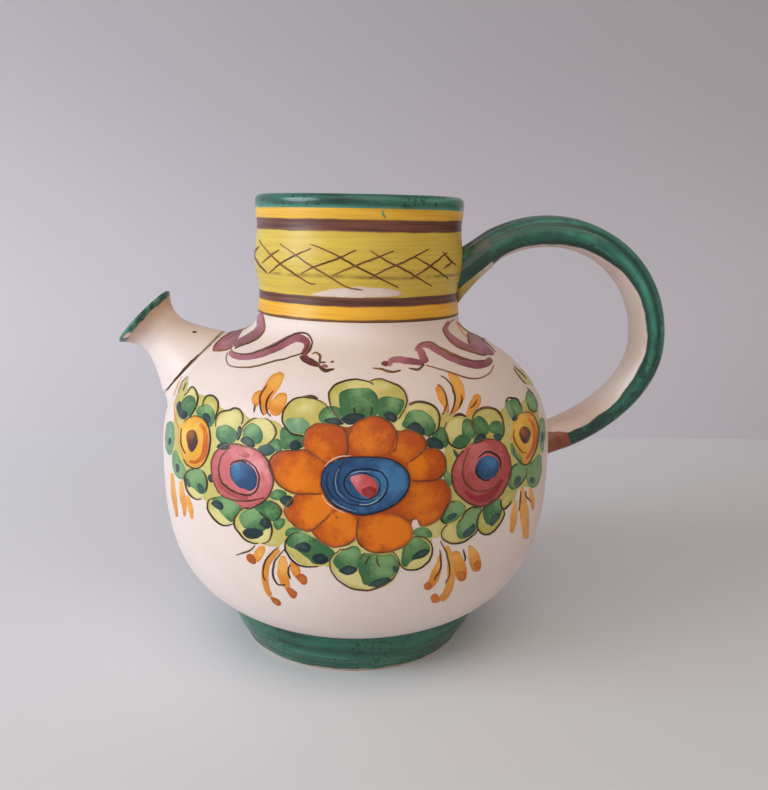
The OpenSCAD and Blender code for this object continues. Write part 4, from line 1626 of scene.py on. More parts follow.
@dataclass(frozen=True)
class CentreFlower(Motif):
    """The nine-petalled flower in the middle of the garland, with its blue heart and pink core."""

    dabs: tuple[Dab, ...] = (
        Dab(Pigment.GROUND, (306, 440, 318, 427, 336, 426, 349, 427, 362, 421, 382, 421, 395, 430, 410, 433,
            423, 445, 437, 452, 443, 464, 436, 479, 447, 492, 442, 510, 427, 522, 413, 520, 408, 540, 385,
            550, 366, 546, 356, 537, 340, 543, 322, 539, 310, 528, 292, 521, 288, 508, 298, 493, 280, 483,
            272, 465, 280, 454, 302, 452)),
        Dab(Pigment.PETAL, (305, 437, 307, 430, 311, 427, 317, 424, 326, 424.5, 335, 425, 341, 427, 345,
            431, 347, 438, 347, 450, 343, 456, 334, 461, 328, 465, 318, 457, 310, 452, 304, 447, 303,
            441), (320, 448)),
        Dab(Pigment.PETAL, (349, 438, 350, 431, 354, 425, 362, 420, 374, 417, 382, 418.5, 389, 423, 394,
            429, 396, 436, 394, 446, 389, 454, 375, 457, 357, 457, 348, 452), (368, 440)),
        Dab(Pigment.PETAL, (397, 434, 401, 432, 408, 430.5, 415, 432.5, 421, 436, 425, 442, 425, 448, 421,
            453, 414, 459, 406, 463, 398, 460, 391, 454, 395, 443), (402, 454)),
        Dab(Pigment.PETAL, (417, 457, 421, 452, 428, 449, 436, 449.5, 442, 454, 445, 461, 445, 468, 442,
            475, 436, 479, 425, 480, 413, 480, 409, 471, 408, 464), (418, 467)),
        Dab(Pigment.PETAL, (412, 481, 422, 481, 436, 478, 443, 480, 448, 487, 450.5, 496, 448, 505, 443,
            513, 436, 520, 426, 525, 420, 524, 417, 519, 408, 520, 397, 514, 390, 512, 401, 503, 408,
            492), (425, 503)),
        Dab(Pigment.PETAL, (366, 516, 380, 514, 392, 515, 402, 518, 409, 523, 412, 530, 411, 538, 404, 545,
            394, 549.5, 384, 552, 374, 552, 365, 547.5, 358, 541, 356, 533, 359, 522), (398, 527)),
        Dab(Pigment.PETAL, (312, 529, 316, 536, 323, 542, 333, 546, 342, 545.5, 350, 542.5, 355, 538, 358,
            526, 356, 517, 345, 511, 334, 512, 323, 521), (345, 525)),
        Dab(Pigment.PETAL, (285, 510, 287, 517, 293, 524, 301, 528.5, 310, 530, 318, 525, 328, 517, 336,
            508, 329, 502, 322, 494, 308, 493, 297, 494, 293, 502), (320, 509)),
        Dab(Pigment.PETAL, (271, 468, 270, 461, 275, 455, 283, 452, 296, 451, 306, 450, 314, 455, 327, 464,
            322, 473, 321, 484, 322, 493, 308, 494, 296, 493, 287, 490, 279, 484, 274, 477), (300, 480)),
        Dab(Pigment.BLUE, (321.5, 483, 323, 472, 328, 465, 336, 460.5, 345, 458, 357, 457, 371, 457.3, 383,
            458, 393, 460.5, 401, 465, 407, 472, 409.5, 481, 407.5, 490, 403, 497, 396, 503.5, 388, 508.5,
            378, 512, 368, 514.5, 357, 514.5, 347, 511.5, 337, 507, 330, 501.5, 324.5, 493), (396, 478)),
        Dab(Pigment.CORE, (350, 478, 355, 475, 363, 474.5, 371, 477, 376.5, 482, 378, 488, 376, 494, 372,
            498, 366, 497, 360, 493, 354, 486), (356, 479)),
        Dab(Pigment.CRIMSON, (362, 489, 368, 486, 374, 487, 377, 491, 373, 497.5, 367, 497, 362, 493.5)),
    )
    strokes: tuple[Stroke, ...] = (
        Stroke(Pigment.SEPIA, (304, 447, 303, 440, 306, 431, 311, 426.5, 318, 423.5, 327, 424, 336, 425,
            342, 427.5, 346, 432, 347.5, 440, 348, 450, 345, 456), (0.9, 1.3, 0.9)),
        Stroke(Pigment.SEPIA, (348.5, 440, 349.5, 432, 353.5, 425, 361, 420, 373, 416.5, 382, 418, 390, 423,
            395, 429, 397, 436, 396, 446, 391, 454), (0.9, 1.4, 0.9)),
        Stroke(Pigment.SEPIA, (396, 436, 401, 431.5, 408, 430, 416, 432.5, 422, 436, 426, 442, 426, 448,
            422, 453, 416, 458, 409, 462), (0.9, 1.4, 0.9)),
        Stroke(Pigment.SEPIA, (417, 456, 422, 451.5, 429, 448.5, 437, 449, 443, 454, 446, 461, 446, 468,
            443, 475, 437, 479.5, 425, 481, 411, 481), (0.9, 1.4, 0.9)),
        Stroke(Pigment.SEPIA, (436, 478.5, 444, 480, 449, 487, 451, 496, 449, 505, 444, 513, 437, 520.5,
            427, 525.5, 420, 525, 417, 519, 408, 520, 396, 514), (0.9, 1.4, 0.9)),
        Stroke(Pigment.SEPIA, (409, 522, 412.5, 530, 411.5, 538, 405, 545.5, 395, 550, 384, 552.5, 373,
            552.5, 364, 548, 357.5, 541, 356.5, 530, 358, 519), (0.9, 1.4, 0.9)),
        Stroke(Pigment.SEPIA, (311, 530, 316, 537, 323, 543, 333, 547, 343, 546, 351, 543, 356,
            538), (0.9, 1.4, 0.9)),
        Stroke(Pigment.SEPIA, (297, 494, 290, 501, 284, 509, 286.5, 517, 293, 524.5, 301, 529, 310, 531,
            322, 522, 331, 513), (0.9, 1.4, 0.9)),
        Stroke(Pigment.SEPIA, (327, 464, 315, 456, 305, 450, 296, 450.5, 283, 451, 275, 454, 269.5, 460.5,
            269.5, 468, 274, 478, 279, 485, 287, 490.5, 295, 493.5, 308, 494, 322, 494), (0.9, 1.4, 0.9)),
        Stroke(Pigment.NAVY, (336, 460.5, 328, 465, 323, 472, 321, 483, 324.5, 493, 330, 501.5, 337, 507,
            347, 511.5, 357, 514.5, 368, 514.5, 378, 512, 388, 508.5, 396, 503.5, 403, 497, 407.5, 490,
            409.5, 481, 407, 472, 401, 465, 393, 460.5, 383, 458, 371, 457.3, 357, 457, 345, 458, 336,
            460.5), (1.0, 1.5, 1.0)),
        Stroke(Pigment.NAVY, (345, 459, 341, 465, 336, 473, 333.5, 482, 335, 491, 340, 498, 348, 503, 357,
            505.5, 366, 506, 373, 504, 380, 500, 385.5, 493, 387.5, 485, 386, 478, 381, 472, 374, 470, 366,
            469, 357, 470, 351, 472, 346, 477, 344, 484, 347, 491, 352, 496, 360, 499, 368, 499, 374, 497,
            379, 491, 380, 484, 377, 478, 371, 475, 364, 473.5, 357, 472.5), (0.9, 1.5, 0.9)),
        Stroke(Pigment.NAVY, (352, 459.5, 343, 465.5, 339, 473, 338, 482, 340, 490, 346, 497, 355, 501.5,
            364, 503, 371, 501.5, 377, 498), (0.6, 1.0, 0.6)),
        Stroke(Pigment.NAVY, (329, 470, 326.5, 479, 327.5, 488, 332, 496, 339, 502), (0.6, 1.1, 0.6)),
        # The mist and milk strokes are the pale lines beside the incised spiral and heart: partly scraped
        # glaze, partly painted highlight where the groove edges catch the light.
        Stroke(Pigment.MIST, (340, 467.5, 336, 475, 335.5, 484, 338, 492, 344, 498.5), (0.5, 0.8, 0.5)),
        Stroke(Pigment.MIST, (358, 504.3, 367, 504.3, 374, 502, 381, 496, 385, 488), (0.5, 0.8, 0.5)),
        Stroke(Pigment.MIST, (331, 499, 338, 504.5, 347, 509, 358, 512), (0.4, 0.7, 0.4)),
        Stroke(Pigment.MILK, (324, 467, 331, 460.5, 341, 456.6, 352, 455.4), (0.6, 1.0, 0.6)),
        Stroke(Pigment.MILK, (321.5, 494, 327, 502.5, 335, 508.5, 346, 513.5), (0.6, 0.9, 0.6)),
        Stroke(Pigment.MIST, (349, 474.5, 357, 472, 365, 471.3, 373, 472.5), (0.5, 0.8, 0.5)),
    )


@dataclass(frozen=True)
class CentreLeaves(Motif):
    """The leaves over and under the middle flower."""

    dabs: tuple[Dab, ...] = (
        Dab(Pigment.WASH, (308, 428, 318, 416, 330, 408, 341, 415, 347, 426, 335, 430, 318, 428)),
        Dab(Pigment.WASH, (391, 424, 399, 416, 407, 409, 410, 420, 406, 432, 398, 434, 393, 430)),
        Dab(Pigment.WASH, (288, 526, 303, 525, 322, 533, 336, 541, 356, 540, 384, 546, 404, 541, 413, 533,
            428, 527, 432, 542, 420, 556, 404, 564, 392, 575, 364, 580, 340, 570, 322, 565, 300, 556, 288,
            544)),
        Dab(Pigment.LEAF, (329, 398, 331, 391, 336, 386, 343, 382, 351, 380, 361, 380, 370, 380.5, 380, 380,
            390, 381.5, 399, 385, 405, 391, 407, 399, 405, 408, 401, 415, 397, 420, 392, 423, 385, 420, 370,
            419, 355, 419, 345, 421, 338, 414, 332, 406), (362, 386)),
        Dab(Pigment.GREEN, (340, 395, 345, 391, 353, 389.5, 363, 389, 370, 390, 375, 394, 378, 401, 377,
            410, 374, 417, 365, 419, 352, 418, 343, 416, 341, 408), (358, 394)),
        Dab(Pigment.GREEN, (379, 401, 384, 398, 389, 397.5, 396, 399, 403, 401, 402, 408, 398, 414, 392,
            418, 384, 417, 378, 413), (392, 401)),
        Dab(Pigment.DARK, (341, 418, 348, 414, 358, 413, 366, 416, 360, 421, 350, 425, 343, 422)),
        Dab(Pigment.DARK, (383, 415, 388, 411, 394, 413, 398, 418, 394, 423, 387, 420)),
        Dab(Pigment.LEAF, (283, 421, 283, 412, 286, 407, 291, 401, 298, 398, 306, 397.5, 318, 400, 326, 405,
            329, 411, 318, 424, 309, 428, 304, 435.5, 297, 434.5, 291, 432.5, 286, 428), (303, 406)),
        Dab(Pigment.PALE, (285, 423, 287, 419, 293, 418, 301, 418, 307, 421, 310, 425, 306, 431, 303, 434,
            295, 433, 289, 430), (298, 420)),
        Dab(Pigment.GREEN, (320, 420, 320, 414, 324, 409, 330, 407.5, 338, 408, 341, 413, 338, 424, 326,
            423)),
        Dab(Pigment.DARK, (323, 421, 330, 418, 338, 418, 344, 424, 334, 425)),
        Dab(Pigment.WASH, (279, 430, 292, 434, 306, 436, 306, 451, 290, 453, 278, 452, 275, 441)),
        Dab(Pigment.GREEN, (281, 432, 285, 428, 292, 436, 303, 437, 303, 446, 290, 448, 283, 447)),
        Dab(Pigment.DARK, (288, 446, 291, 441, 296, 439.5, 301, 442, 302, 447, 296, 451, 291, 450)),
        Dab(Pigment.LEAF, (407, 406, 411, 402.5, 418, 401.5, 425, 402.5, 432, 405, 438, 411, 440, 418, 440,
            426, 436, 432, 431, 436.5, 426, 437, 420, 433, 414, 429, 406, 428, 403, 424, 405,
            414), (420, 406)),
        Dab(Pigment.GREEN, (404, 427, 405, 420, 409, 413, 416, 410.5, 424, 412.5, 431, 418, 435, 425, 433,
            431, 427, 435), (420, 414)),
        Dab(Pigment.DARK, (406, 428, 409, 424, 415, 421.5, 421, 425, 425, 430, 424, 435, 415, 431)),
        Dab(Pigment.GREEN, (433, 436, 438, 430, 443, 428, 446, 434, 448, 441, 445, 447, 440, 442)),
        Dab(Pigment.DARK, (426, 440, 430, 437, 435, 437, 441, 440, 444, 445, 443, 449, 438, 449, 430, 448,
            426, 445)),
        Dab(Pigment.LEAF, (285, 545, 287, 538, 293, 533, 300, 531, 308, 533, 316, 538, 324, 543, 332, 547,
            334, 551, 330, 556, 328, 562, 322, 566, 313, 566.5, 303, 565, 295, 560, 289, 553)),
        Dab(Pigment.GREEN, (287, 540, 293, 534, 302, 533, 310, 537, 319, 542, 333, 551, 331, 557, 326, 562,
            314, 563, 307, 556, 296, 549, 289, 546), (303, 537)),
        Dab(Pigment.DARK, (294, 547, 298, 543, 305, 541.5, 311, 545, 311, 550, 307, 553, 300, 551)),
        Dab(Pigment.DARK, (311, 558, 315, 554, 321, 553, 327, 556, 329, 560, 325, 564, 317, 564)),
        Dab(Pigment.GREEN, (287, 536, 287, 531, 292, 528.5, 303, 530.5, 294, 533)),
        Dab(Pigment.LEAF, (331, 561, 334, 554, 340, 550, 348, 549, 356, 547, 362, 550, 368, 553, 378, 554,
            388, 552, 393, 553, 397, 559, 399, 566, 397, 574, 391, 582, 383, 587, 374, 590, 364, 591, 354,
            588, 345, 583, 337, 576, 332, 568), (354, 582)),
        Dab(Pigment.GREEN, (334, 563, 337, 556, 345, 550, 354, 547, 360, 552, 358, 566, 352, 570, 343,
            571), (350, 553)),
        Dab(Pigment.GREEN, (360, 556, 368, 554, 380, 556, 392, 555, 397, 562, 396, 570, 391, 576, 383, 580,
            366, 584, 362, 577, 359, 568), (384, 560)),
        Dab(Pigment.DARK, (338, 571, 343, 567, 349, 565, 356, 567, 358, 570, 353, 574, 346, 575)),
        Dab(Pigment.DARK, (368, 586, 371, 582, 378, 579, 386, 577, 391, 578.5, 388, 583, 380, 587)),
        Dab(Pigment.DARK, (392, 566, 397, 566, 398, 571, 393, 572)),
        Dab(Pigment.LEAF, (401, 562, 402, 553, 405, 547, 410, 541, 416, 537.5, 423, 538, 429, 542, 432, 549,
            431, 557, 427, 564, 420, 568, 411, 570, 404, 568)),
        Dab(Pigment.GREEN, (404, 549, 409, 542, 416, 538, 424, 541, 429, 547, 428, 552, 420, 556, 412, 560,
            406, 566, 402, 562), (415, 542)),
        Dab(Pigment.DARK, (411, 559, 414, 554, 420, 550, 427, 548.5, 430, 551, 426, 556, 419, 559)),
        Dab(Pigment.GREEN, (414, 532, 418, 529, 425, 528.5, 430, 532, 430, 537, 415, 535)),
    )
    strokes: tuple[Stroke, ...] = (
        Stroke(Pigment.LINE, (340, 419, 335, 414, 331, 407, 329, 399, 329, 393, 332, 388, 337, 384, 345,
            381, 355, 379.5, 369, 382, 374, 386)),
        Stroke(Pigment.LINE, (369, 381, 380, 379, 393, 383.5, 400, 387, 405, 393, 407, 400, 405, 408, 401,
            415, 398, 420)),
        Stroke(Pigment.LINE, (353.5, 406, 354, 410, 355, 414)),
        Stroke(Pigment.LINE, (363.5, 406, 362, 410, 361, 414)),
        Stroke(Pigment.LINE, (371.5, 406, 371.5, 411, 371, 416)),
        Stroke(Pigment.LINE, (329, 411, 326, 405, 318, 400, 306, 397.5, 298, 398, 291, 401, 286, 407, 283,
            412, 282.5, 421, 286, 428, 291, 433, 297, 435, 304, 436), (0.7, 1.4, 1.6)),
        Stroke(Pigment.LINE, (302, 397.5, 311, 396.5, 319, 399), (1.6, 3.2, 1.4)),
        Stroke(Pigment.LINE, (408, 405, 414, 402.5, 422, 402, 430, 404, 435, 407.5, 438.5, 413, 439.5, 420,
            438.5, 427, 435, 432, 427, 437.5), (2.4, 1.8, 1.0)),
        Stroke(Pigment.LINE, (300, 533.5, 296, 532, 291, 535, 287, 538.5, 285, 544, 285, 549, 287, 553, 291,
            559, 297, 564, 305, 566.5, 319, 566.5)),
        Stroke(Pigment.LINE, (366, 552, 362, 556, 359, 560)),
        Stroke(Pigment.LINE, (371, 554, 367, 560, 365, 566)),
        Stroke(Pigment.LINE, (376.5, 555, 377, 562, 380, 568)),
        Stroke(Pigment.LINE, (353, 546.5, 347, 549, 340, 549.5, 337, 552, 332, 556, 329.5, 562, 331, 570,
            336, 578, 343, 584, 352, 588.5, 361, 590, 370, 590, 378, 587.5, 387, 583, 393, 578, 397, 572,
            399, 565, 398, 558, 394, 553, 391, 550.5)),
        Stroke(Pigment.LINE, (412, 537, 418, 536.5, 425, 538, 430, 542, 432.5, 549, 431, 557, 427, 563, 420,
            568, 413, 570, 405, 569, 400, 564, 399, 558)),
    )


@dataclass(frozen=True)
class RightSpray(Motif):
    """The rose, the small flower and the leaves to the right of the middle flower."""

    dabs: tuple[Dab, ...] = (
        Dab(Pigment.WASH, (441, 413, 452, 415, 466, 417, 474, 412, 486, 409, 500, 411, 507, 402, 514, 398,
            522, 402, 528, 393, 535, 396, 539, 415, 541, 440, 540, 470, 536, 486, 528, 487, 519, 488, 512,
            504, 503, 512, 498, 524, 489, 533, 478, 530, 470, 539, 455, 542, 443, 536, 446, 522, 447, 508,
            450, 495, 447, 480, 446, 465, 444, 445, 440, 430)),
        Dab(Pigment.WASH, (418, 527, 430, 522, 440, 518, 446, 523, 442, 533, 436, 538, 430, 536, 424, 530)),
        Dab(Pigment.WASH, (514, 370, 526, 370, 531, 378, 533, 386, 529, 385, 522, 379)),
        Dab(Pigment.LEAF, (445, 433, 447, 425, 451, 420, 458, 417, 465, 417.5, 470, 421, 472, 428, 474, 435,
            473, 441, 469, 446, 462, 449, 455, 448, 449, 443), (453, 427)),
        Dab(Pigment.GREEN, (463, 430, 463, 424, 466, 419.5, 471, 421, 474, 428, 475, 435, 470, 438, 464,
            437)),
        Dab(Pigment.GREEN, (453, 445, 456, 439, 461, 436, 468, 436, 470, 440, 466, 445, 460, 448)),
        Dab(Pigment.LEAF, (473, 422, 475, 414, 480, 410.5, 487, 409, 494, 410, 500, 414, 503, 421, 504, 430,
            503, 437, 500, 442, 494, 440, 488, 437, 482, 439, 477, 434, 474, 429), (488, 414)),
        Dab(Pigment.GREEN, (474, 425, 475, 419, 479, 416.5, 483, 419, 487, 425, 488, 432, 484, 435, 478,
            434)),
        Dab(Pigment.GREEN, (489, 430, 490, 425, 494, 422, 500, 422, 503, 426, 503, 432, 498, 434)),
        Dab(Pigment.DARK, (473, 444, 474, 439, 478, 434, 483, 433, 487, 438, 480, 443)),
        Dab(Pigment.DARK, (493, 436, 497, 433, 502, 434, 502, 439, 498, 442)),
        Dab(Pigment.MADDER, (452, 476, 452, 470, 455, 462, 459, 455, 465, 449, 470, 444.5, 476, 441.5, 484,
            439.5, 491, 439.5, 498, 441.5, 503, 445, 507, 452, 509.5, 460, 510.5, 468, 510, 476, 507, 483,
            503, 490, 499, 496, 493, 501, 486, 504.5, 480, 506, 473, 504.5, 466, 501, 459, 495, 454,
            487), (472, 452)),
        Dab(Pigment.BLUE, (476, 469, 477, 463, 480, 458.5, 484, 456, 489, 455.5, 494, 457, 498, 461, 499,
            467, 497.5, 472, 494, 477, 488, 479.5, 482, 478.5, 477.5, 474.5), (490, 462)),
        Dab(Pigment.YELLOW, (520, 414, 526, 412.5, 531, 414, 535, 419, 537, 426, 538, 434, 537, 443, 535,
            451, 531, 459, 527, 464, 523, 463, 521, 457.5, 517.5, 452, 514, 446, 511.5, 438, 512, 431, 514,
            423, 517, 418), (517, 430)),
        Dab(Pigment.UMBER, (519, 434, 520, 429, 523, 426.5, 527, 427, 530, 431, 530, 436, 528, 442, 525,
            444, 522, 442), (522, 430)),
        Dab(Pigment.PALE, (505, 402, 509, 400, 510, 404, 512, 410, 514, 416, 511, 418, 507, 410)),
        Dab(Pigment.GREEN, (510, 402, 514, 399.5, 518, 402, 521, 407, 521, 412, 518, 415, 514, 413, 511,
            408)),
        Dab(Pigment.DARK, (512, 417, 517, 415, 518, 420, 513, 421)),
        Dab(Pigment.GREEN, (527, 393, 530, 391.5, 533, 395, 536, 402, 537, 409, 534, 412, 530, 409, 527,
            402)),
        Dab(Pigment.PALE, (540, 419, 544, 419, 545, 430, 543, 452, 541, 450, 539, 435)),
        Dab(Pigment.GREEN, (511, 446, 513, 444, 516, 449, 520, 455, 523, 460, 520, 462, 516, 458, 512,
            452)),
        Dab(Pigment.GREEN, (508, 480, 509, 474, 512, 468, 517, 464, 522, 464, 527, 467, 526, 474, 523, 480,
            519, 485, 514, 489, 510, 487), (515, 470)),
        Dab(Pigment.DARK, (514, 487, 514, 480, 517, 475.5, 521, 476, 521, 481, 518, 485)),
        Dab(Pigment.GREEN, (527, 467, 533, 462, 538, 456, 541, 457, 541, 466, 540, 474, 538, 482, 535, 486,
            531, 486.5, 528, 481)),
        Dab(Pigment.DARK, (529, 480, 532, 476, 535, 478, 535, 483, 531, 484)),
        Dab(Pigment.LEAF, (503, 492, 509, 490, 515, 491, 514, 497, 511, 502, 507, 507, 503, 507)),
        Dab(Pigment.GREEN, (444, 472, 446, 470, 449, 475, 451, 481, 450, 485, 446, 480)),
        Dab(Pigment.DARK, (453, 449, 457, 452, 459, 456, 457, 458, 454, 454)),
        Dab(Pigment.GREEN, (450, 504, 455, 501.5, 461, 503, 465, 508, 463, 513, 458, 517, 452, 521, 446,
            522, 442, 519, 445, 513), (456, 505)),
        Dab(Pigment.DARK, (446, 518, 449, 514, 454, 512.5, 458, 514, 456, 517, 451, 520.5)),
        Dab(Pigment.LEAF, (443, 535, 444, 530, 449, 526, 456, 522, 462, 514, 470, 508, 478, 508, 479, 514,
            477, 522, 478, 529, 474, 535, 468, 540, 458, 543, 449, 542.5, 444, 539), (450, 534)),
        Dab(Pigment.GREEN, (457, 530, 458, 524, 463, 518, 468, 513, 474, 509, 480, 508, 481, 512, 478, 519,
            477, 526, 472, 533, 465, 538, 459, 537), (470, 513)),
        Dab(Pigment.DARK, (462, 537, 464, 531, 469, 527, 474, 523, 476, 527, 474, 532, 469, 537)),
        Dab(Pigment.LEAF, (477, 522, 479, 515, 484, 509, 490, 504, 495, 499, 499, 497, 501, 501, 501, 508,
            504, 512, 503, 518, 499, 524, 494, 530, 488, 534, 482, 533, 478, 528)),
        Dab(Pigment.GREEN, (484, 511, 489, 505, 495, 500, 499, 500, 501, 510, 499, 515, 494, 521, 488, 524,
            485, 520), (496, 503)),
        Dab(Pigment.DARK, (489, 523, 491, 518, 495, 513.5, 499, 512.5, 501, 515, 498, 520, 494, 525, 491,
            527)),
    )
    strokes: tuple[Stroke, ...] = (
        Stroke(Pigment.LINE, (447, 421, 445, 427, 444.5, 433, 447, 440, 451, 445, 456, 448, 462, 448.5, 467,
            446)),
        Stroke(Pigment.LINE, (468, 418.5, 471, 424, 474, 430, 477, 436)),
        Stroke(Pigment.LINE, (452, 417, 460, 414.5, 467, 417), (1.4, 2.8, 1.2)),
        Stroke(Pigment.LINE, (477, 436, 474, 430, 472.5, 424, 473, 417, 476, 412, 480, 409, 484, 407.5, 492,
            408.5, 498, 411.5, 501.5, 417, 503.5, 424, 504, 432, 502, 438), (1.0, 2.2, 1.0)),
        Stroke(Pigment.CRIMSON, (464, 490, 472, 497, 481, 499, 490, 495, 498, 486, 502,
            478), (4.0, 8.5, 4.0)),
        Stroke(Pigment.LINE, (470, 445, 476, 441.5, 484, 439, 491, 439, 498, 441, 503, 444.5, 507.5, 452,
            510, 460, 511, 468, 510.5, 476, 507.5, 483, 503.5, 490, 499, 496.5, 493, 501.5, 486, 505, 480,
            506.5, 473, 505, 466, 501.5, 459, 495.5, 453.5, 487, 451.5, 476, 452, 469, 455, 462, 459, 455,
            464, 449.5), (1.0, 1.8, 1.0)),
        Stroke(Pigment.LINE, (470, 447, 466, 455, 463, 465, 462.5, 472, 464, 480, 468, 486, 474, 490, 481,
            491.5, 488, 490, 493, 486.5)),
        Stroke(Pigment.NAVY, (477, 459, 484, 452.5, 490, 452, 496, 455, 500, 461, 500, 469), (1, 2.2, 1)),
        Stroke(Pigment.NAVY, (477, 464, 475.5, 470, 478, 476, 484, 480, 491, 479.5), (1, 1.8, 1)),
        Stroke(Pigment.ORANGE, (527, 417.5, 532.5, 424, 535, 434, 534, 445, 530, 454, 525,
            460), (3.0, 5.5, 3.0)),
        Stroke(Pigment.LINE, (520, 413.5, 526, 412, 531.5, 413.5, 535.5, 419, 538, 426, 538.5, 434, 537.5,
            443, 535, 451, 531, 459, 527, 464.5, 523, 464.5, 518, 460, 514.5, 454, 512,
            446), (0.8, 1.4, 0.8)),
        Stroke(Pigment.LINE, (514, 428, 513.5, 438, 517, 446, 522, 452, 528, 453), (0.8, 1.3, 0.8)),
        Stroke(Pigment.LINE, (504.5, 403, 508, 398, 512, 398, 517, 399, 521, 407)),
        Stroke(Pigment.LINE, (526, 387, 530, 391, 533, 396), (0.5, 0.8, 0.4)),
        Stroke(Pigment.LINE, (513, 365, 518, 370, 523, 375, 527, 380), (0.5, 0.8, 0.3)),
        Stroke(Pigment.LINE, (513, 367, 517, 374, 522, 380, 527, 385), (0.5, 0.8, 0.3)),
        Stroke(Pigment.LINE, (527, 402, 530, 410, 535, 412, 537, 408), (0.8, 1.2, 0.8)),
        Stroke(Pigment.LINE, (508, 480, 509.5, 473, 513, 467, 518, 463.5), (0.8, 1.3, 0.8)),
        Stroke(Pigment.LINE, (527, 467, 526, 475, 522, 482, 515, 489), (0.8, 1.3, 0.8)),
        Stroke(Pigment.LINE, (501, 498, 501, 504, 503, 509, 507, 507, 512, 500)),
        Stroke(Pigment.LINE, (456, 501, 449.5, 503, 446, 508, 443, 514, 440.5, 519, 443, 522.5, 448, 524)),
        Stroke(Pigment.LINE, (448, 524, 443, 529, 441.5, 534, 443, 539, 448, 542.5, 455, 543.5, 463, 542,
            470, 538, 476, 532, 478, 527)),
        Stroke(Pigment.LINE, (457, 523, 461, 519, 465, 512, 471, 507.5, 478, 507.5)),
        Stroke(Pigment.LINE, (497, 497.5, 491, 501, 485, 507, 480, 513, 477, 520, 477, 526, 479, 531, 484,
            534.5, 490, 533.5, 495, 530, 499, 525, 503, 518, 504, 513, 502, 506)),
        Stroke(Pigment.DARK, (542, 430, 542, 437, 541.5, 444), (1.0, 2.4, 1.0)),
    )


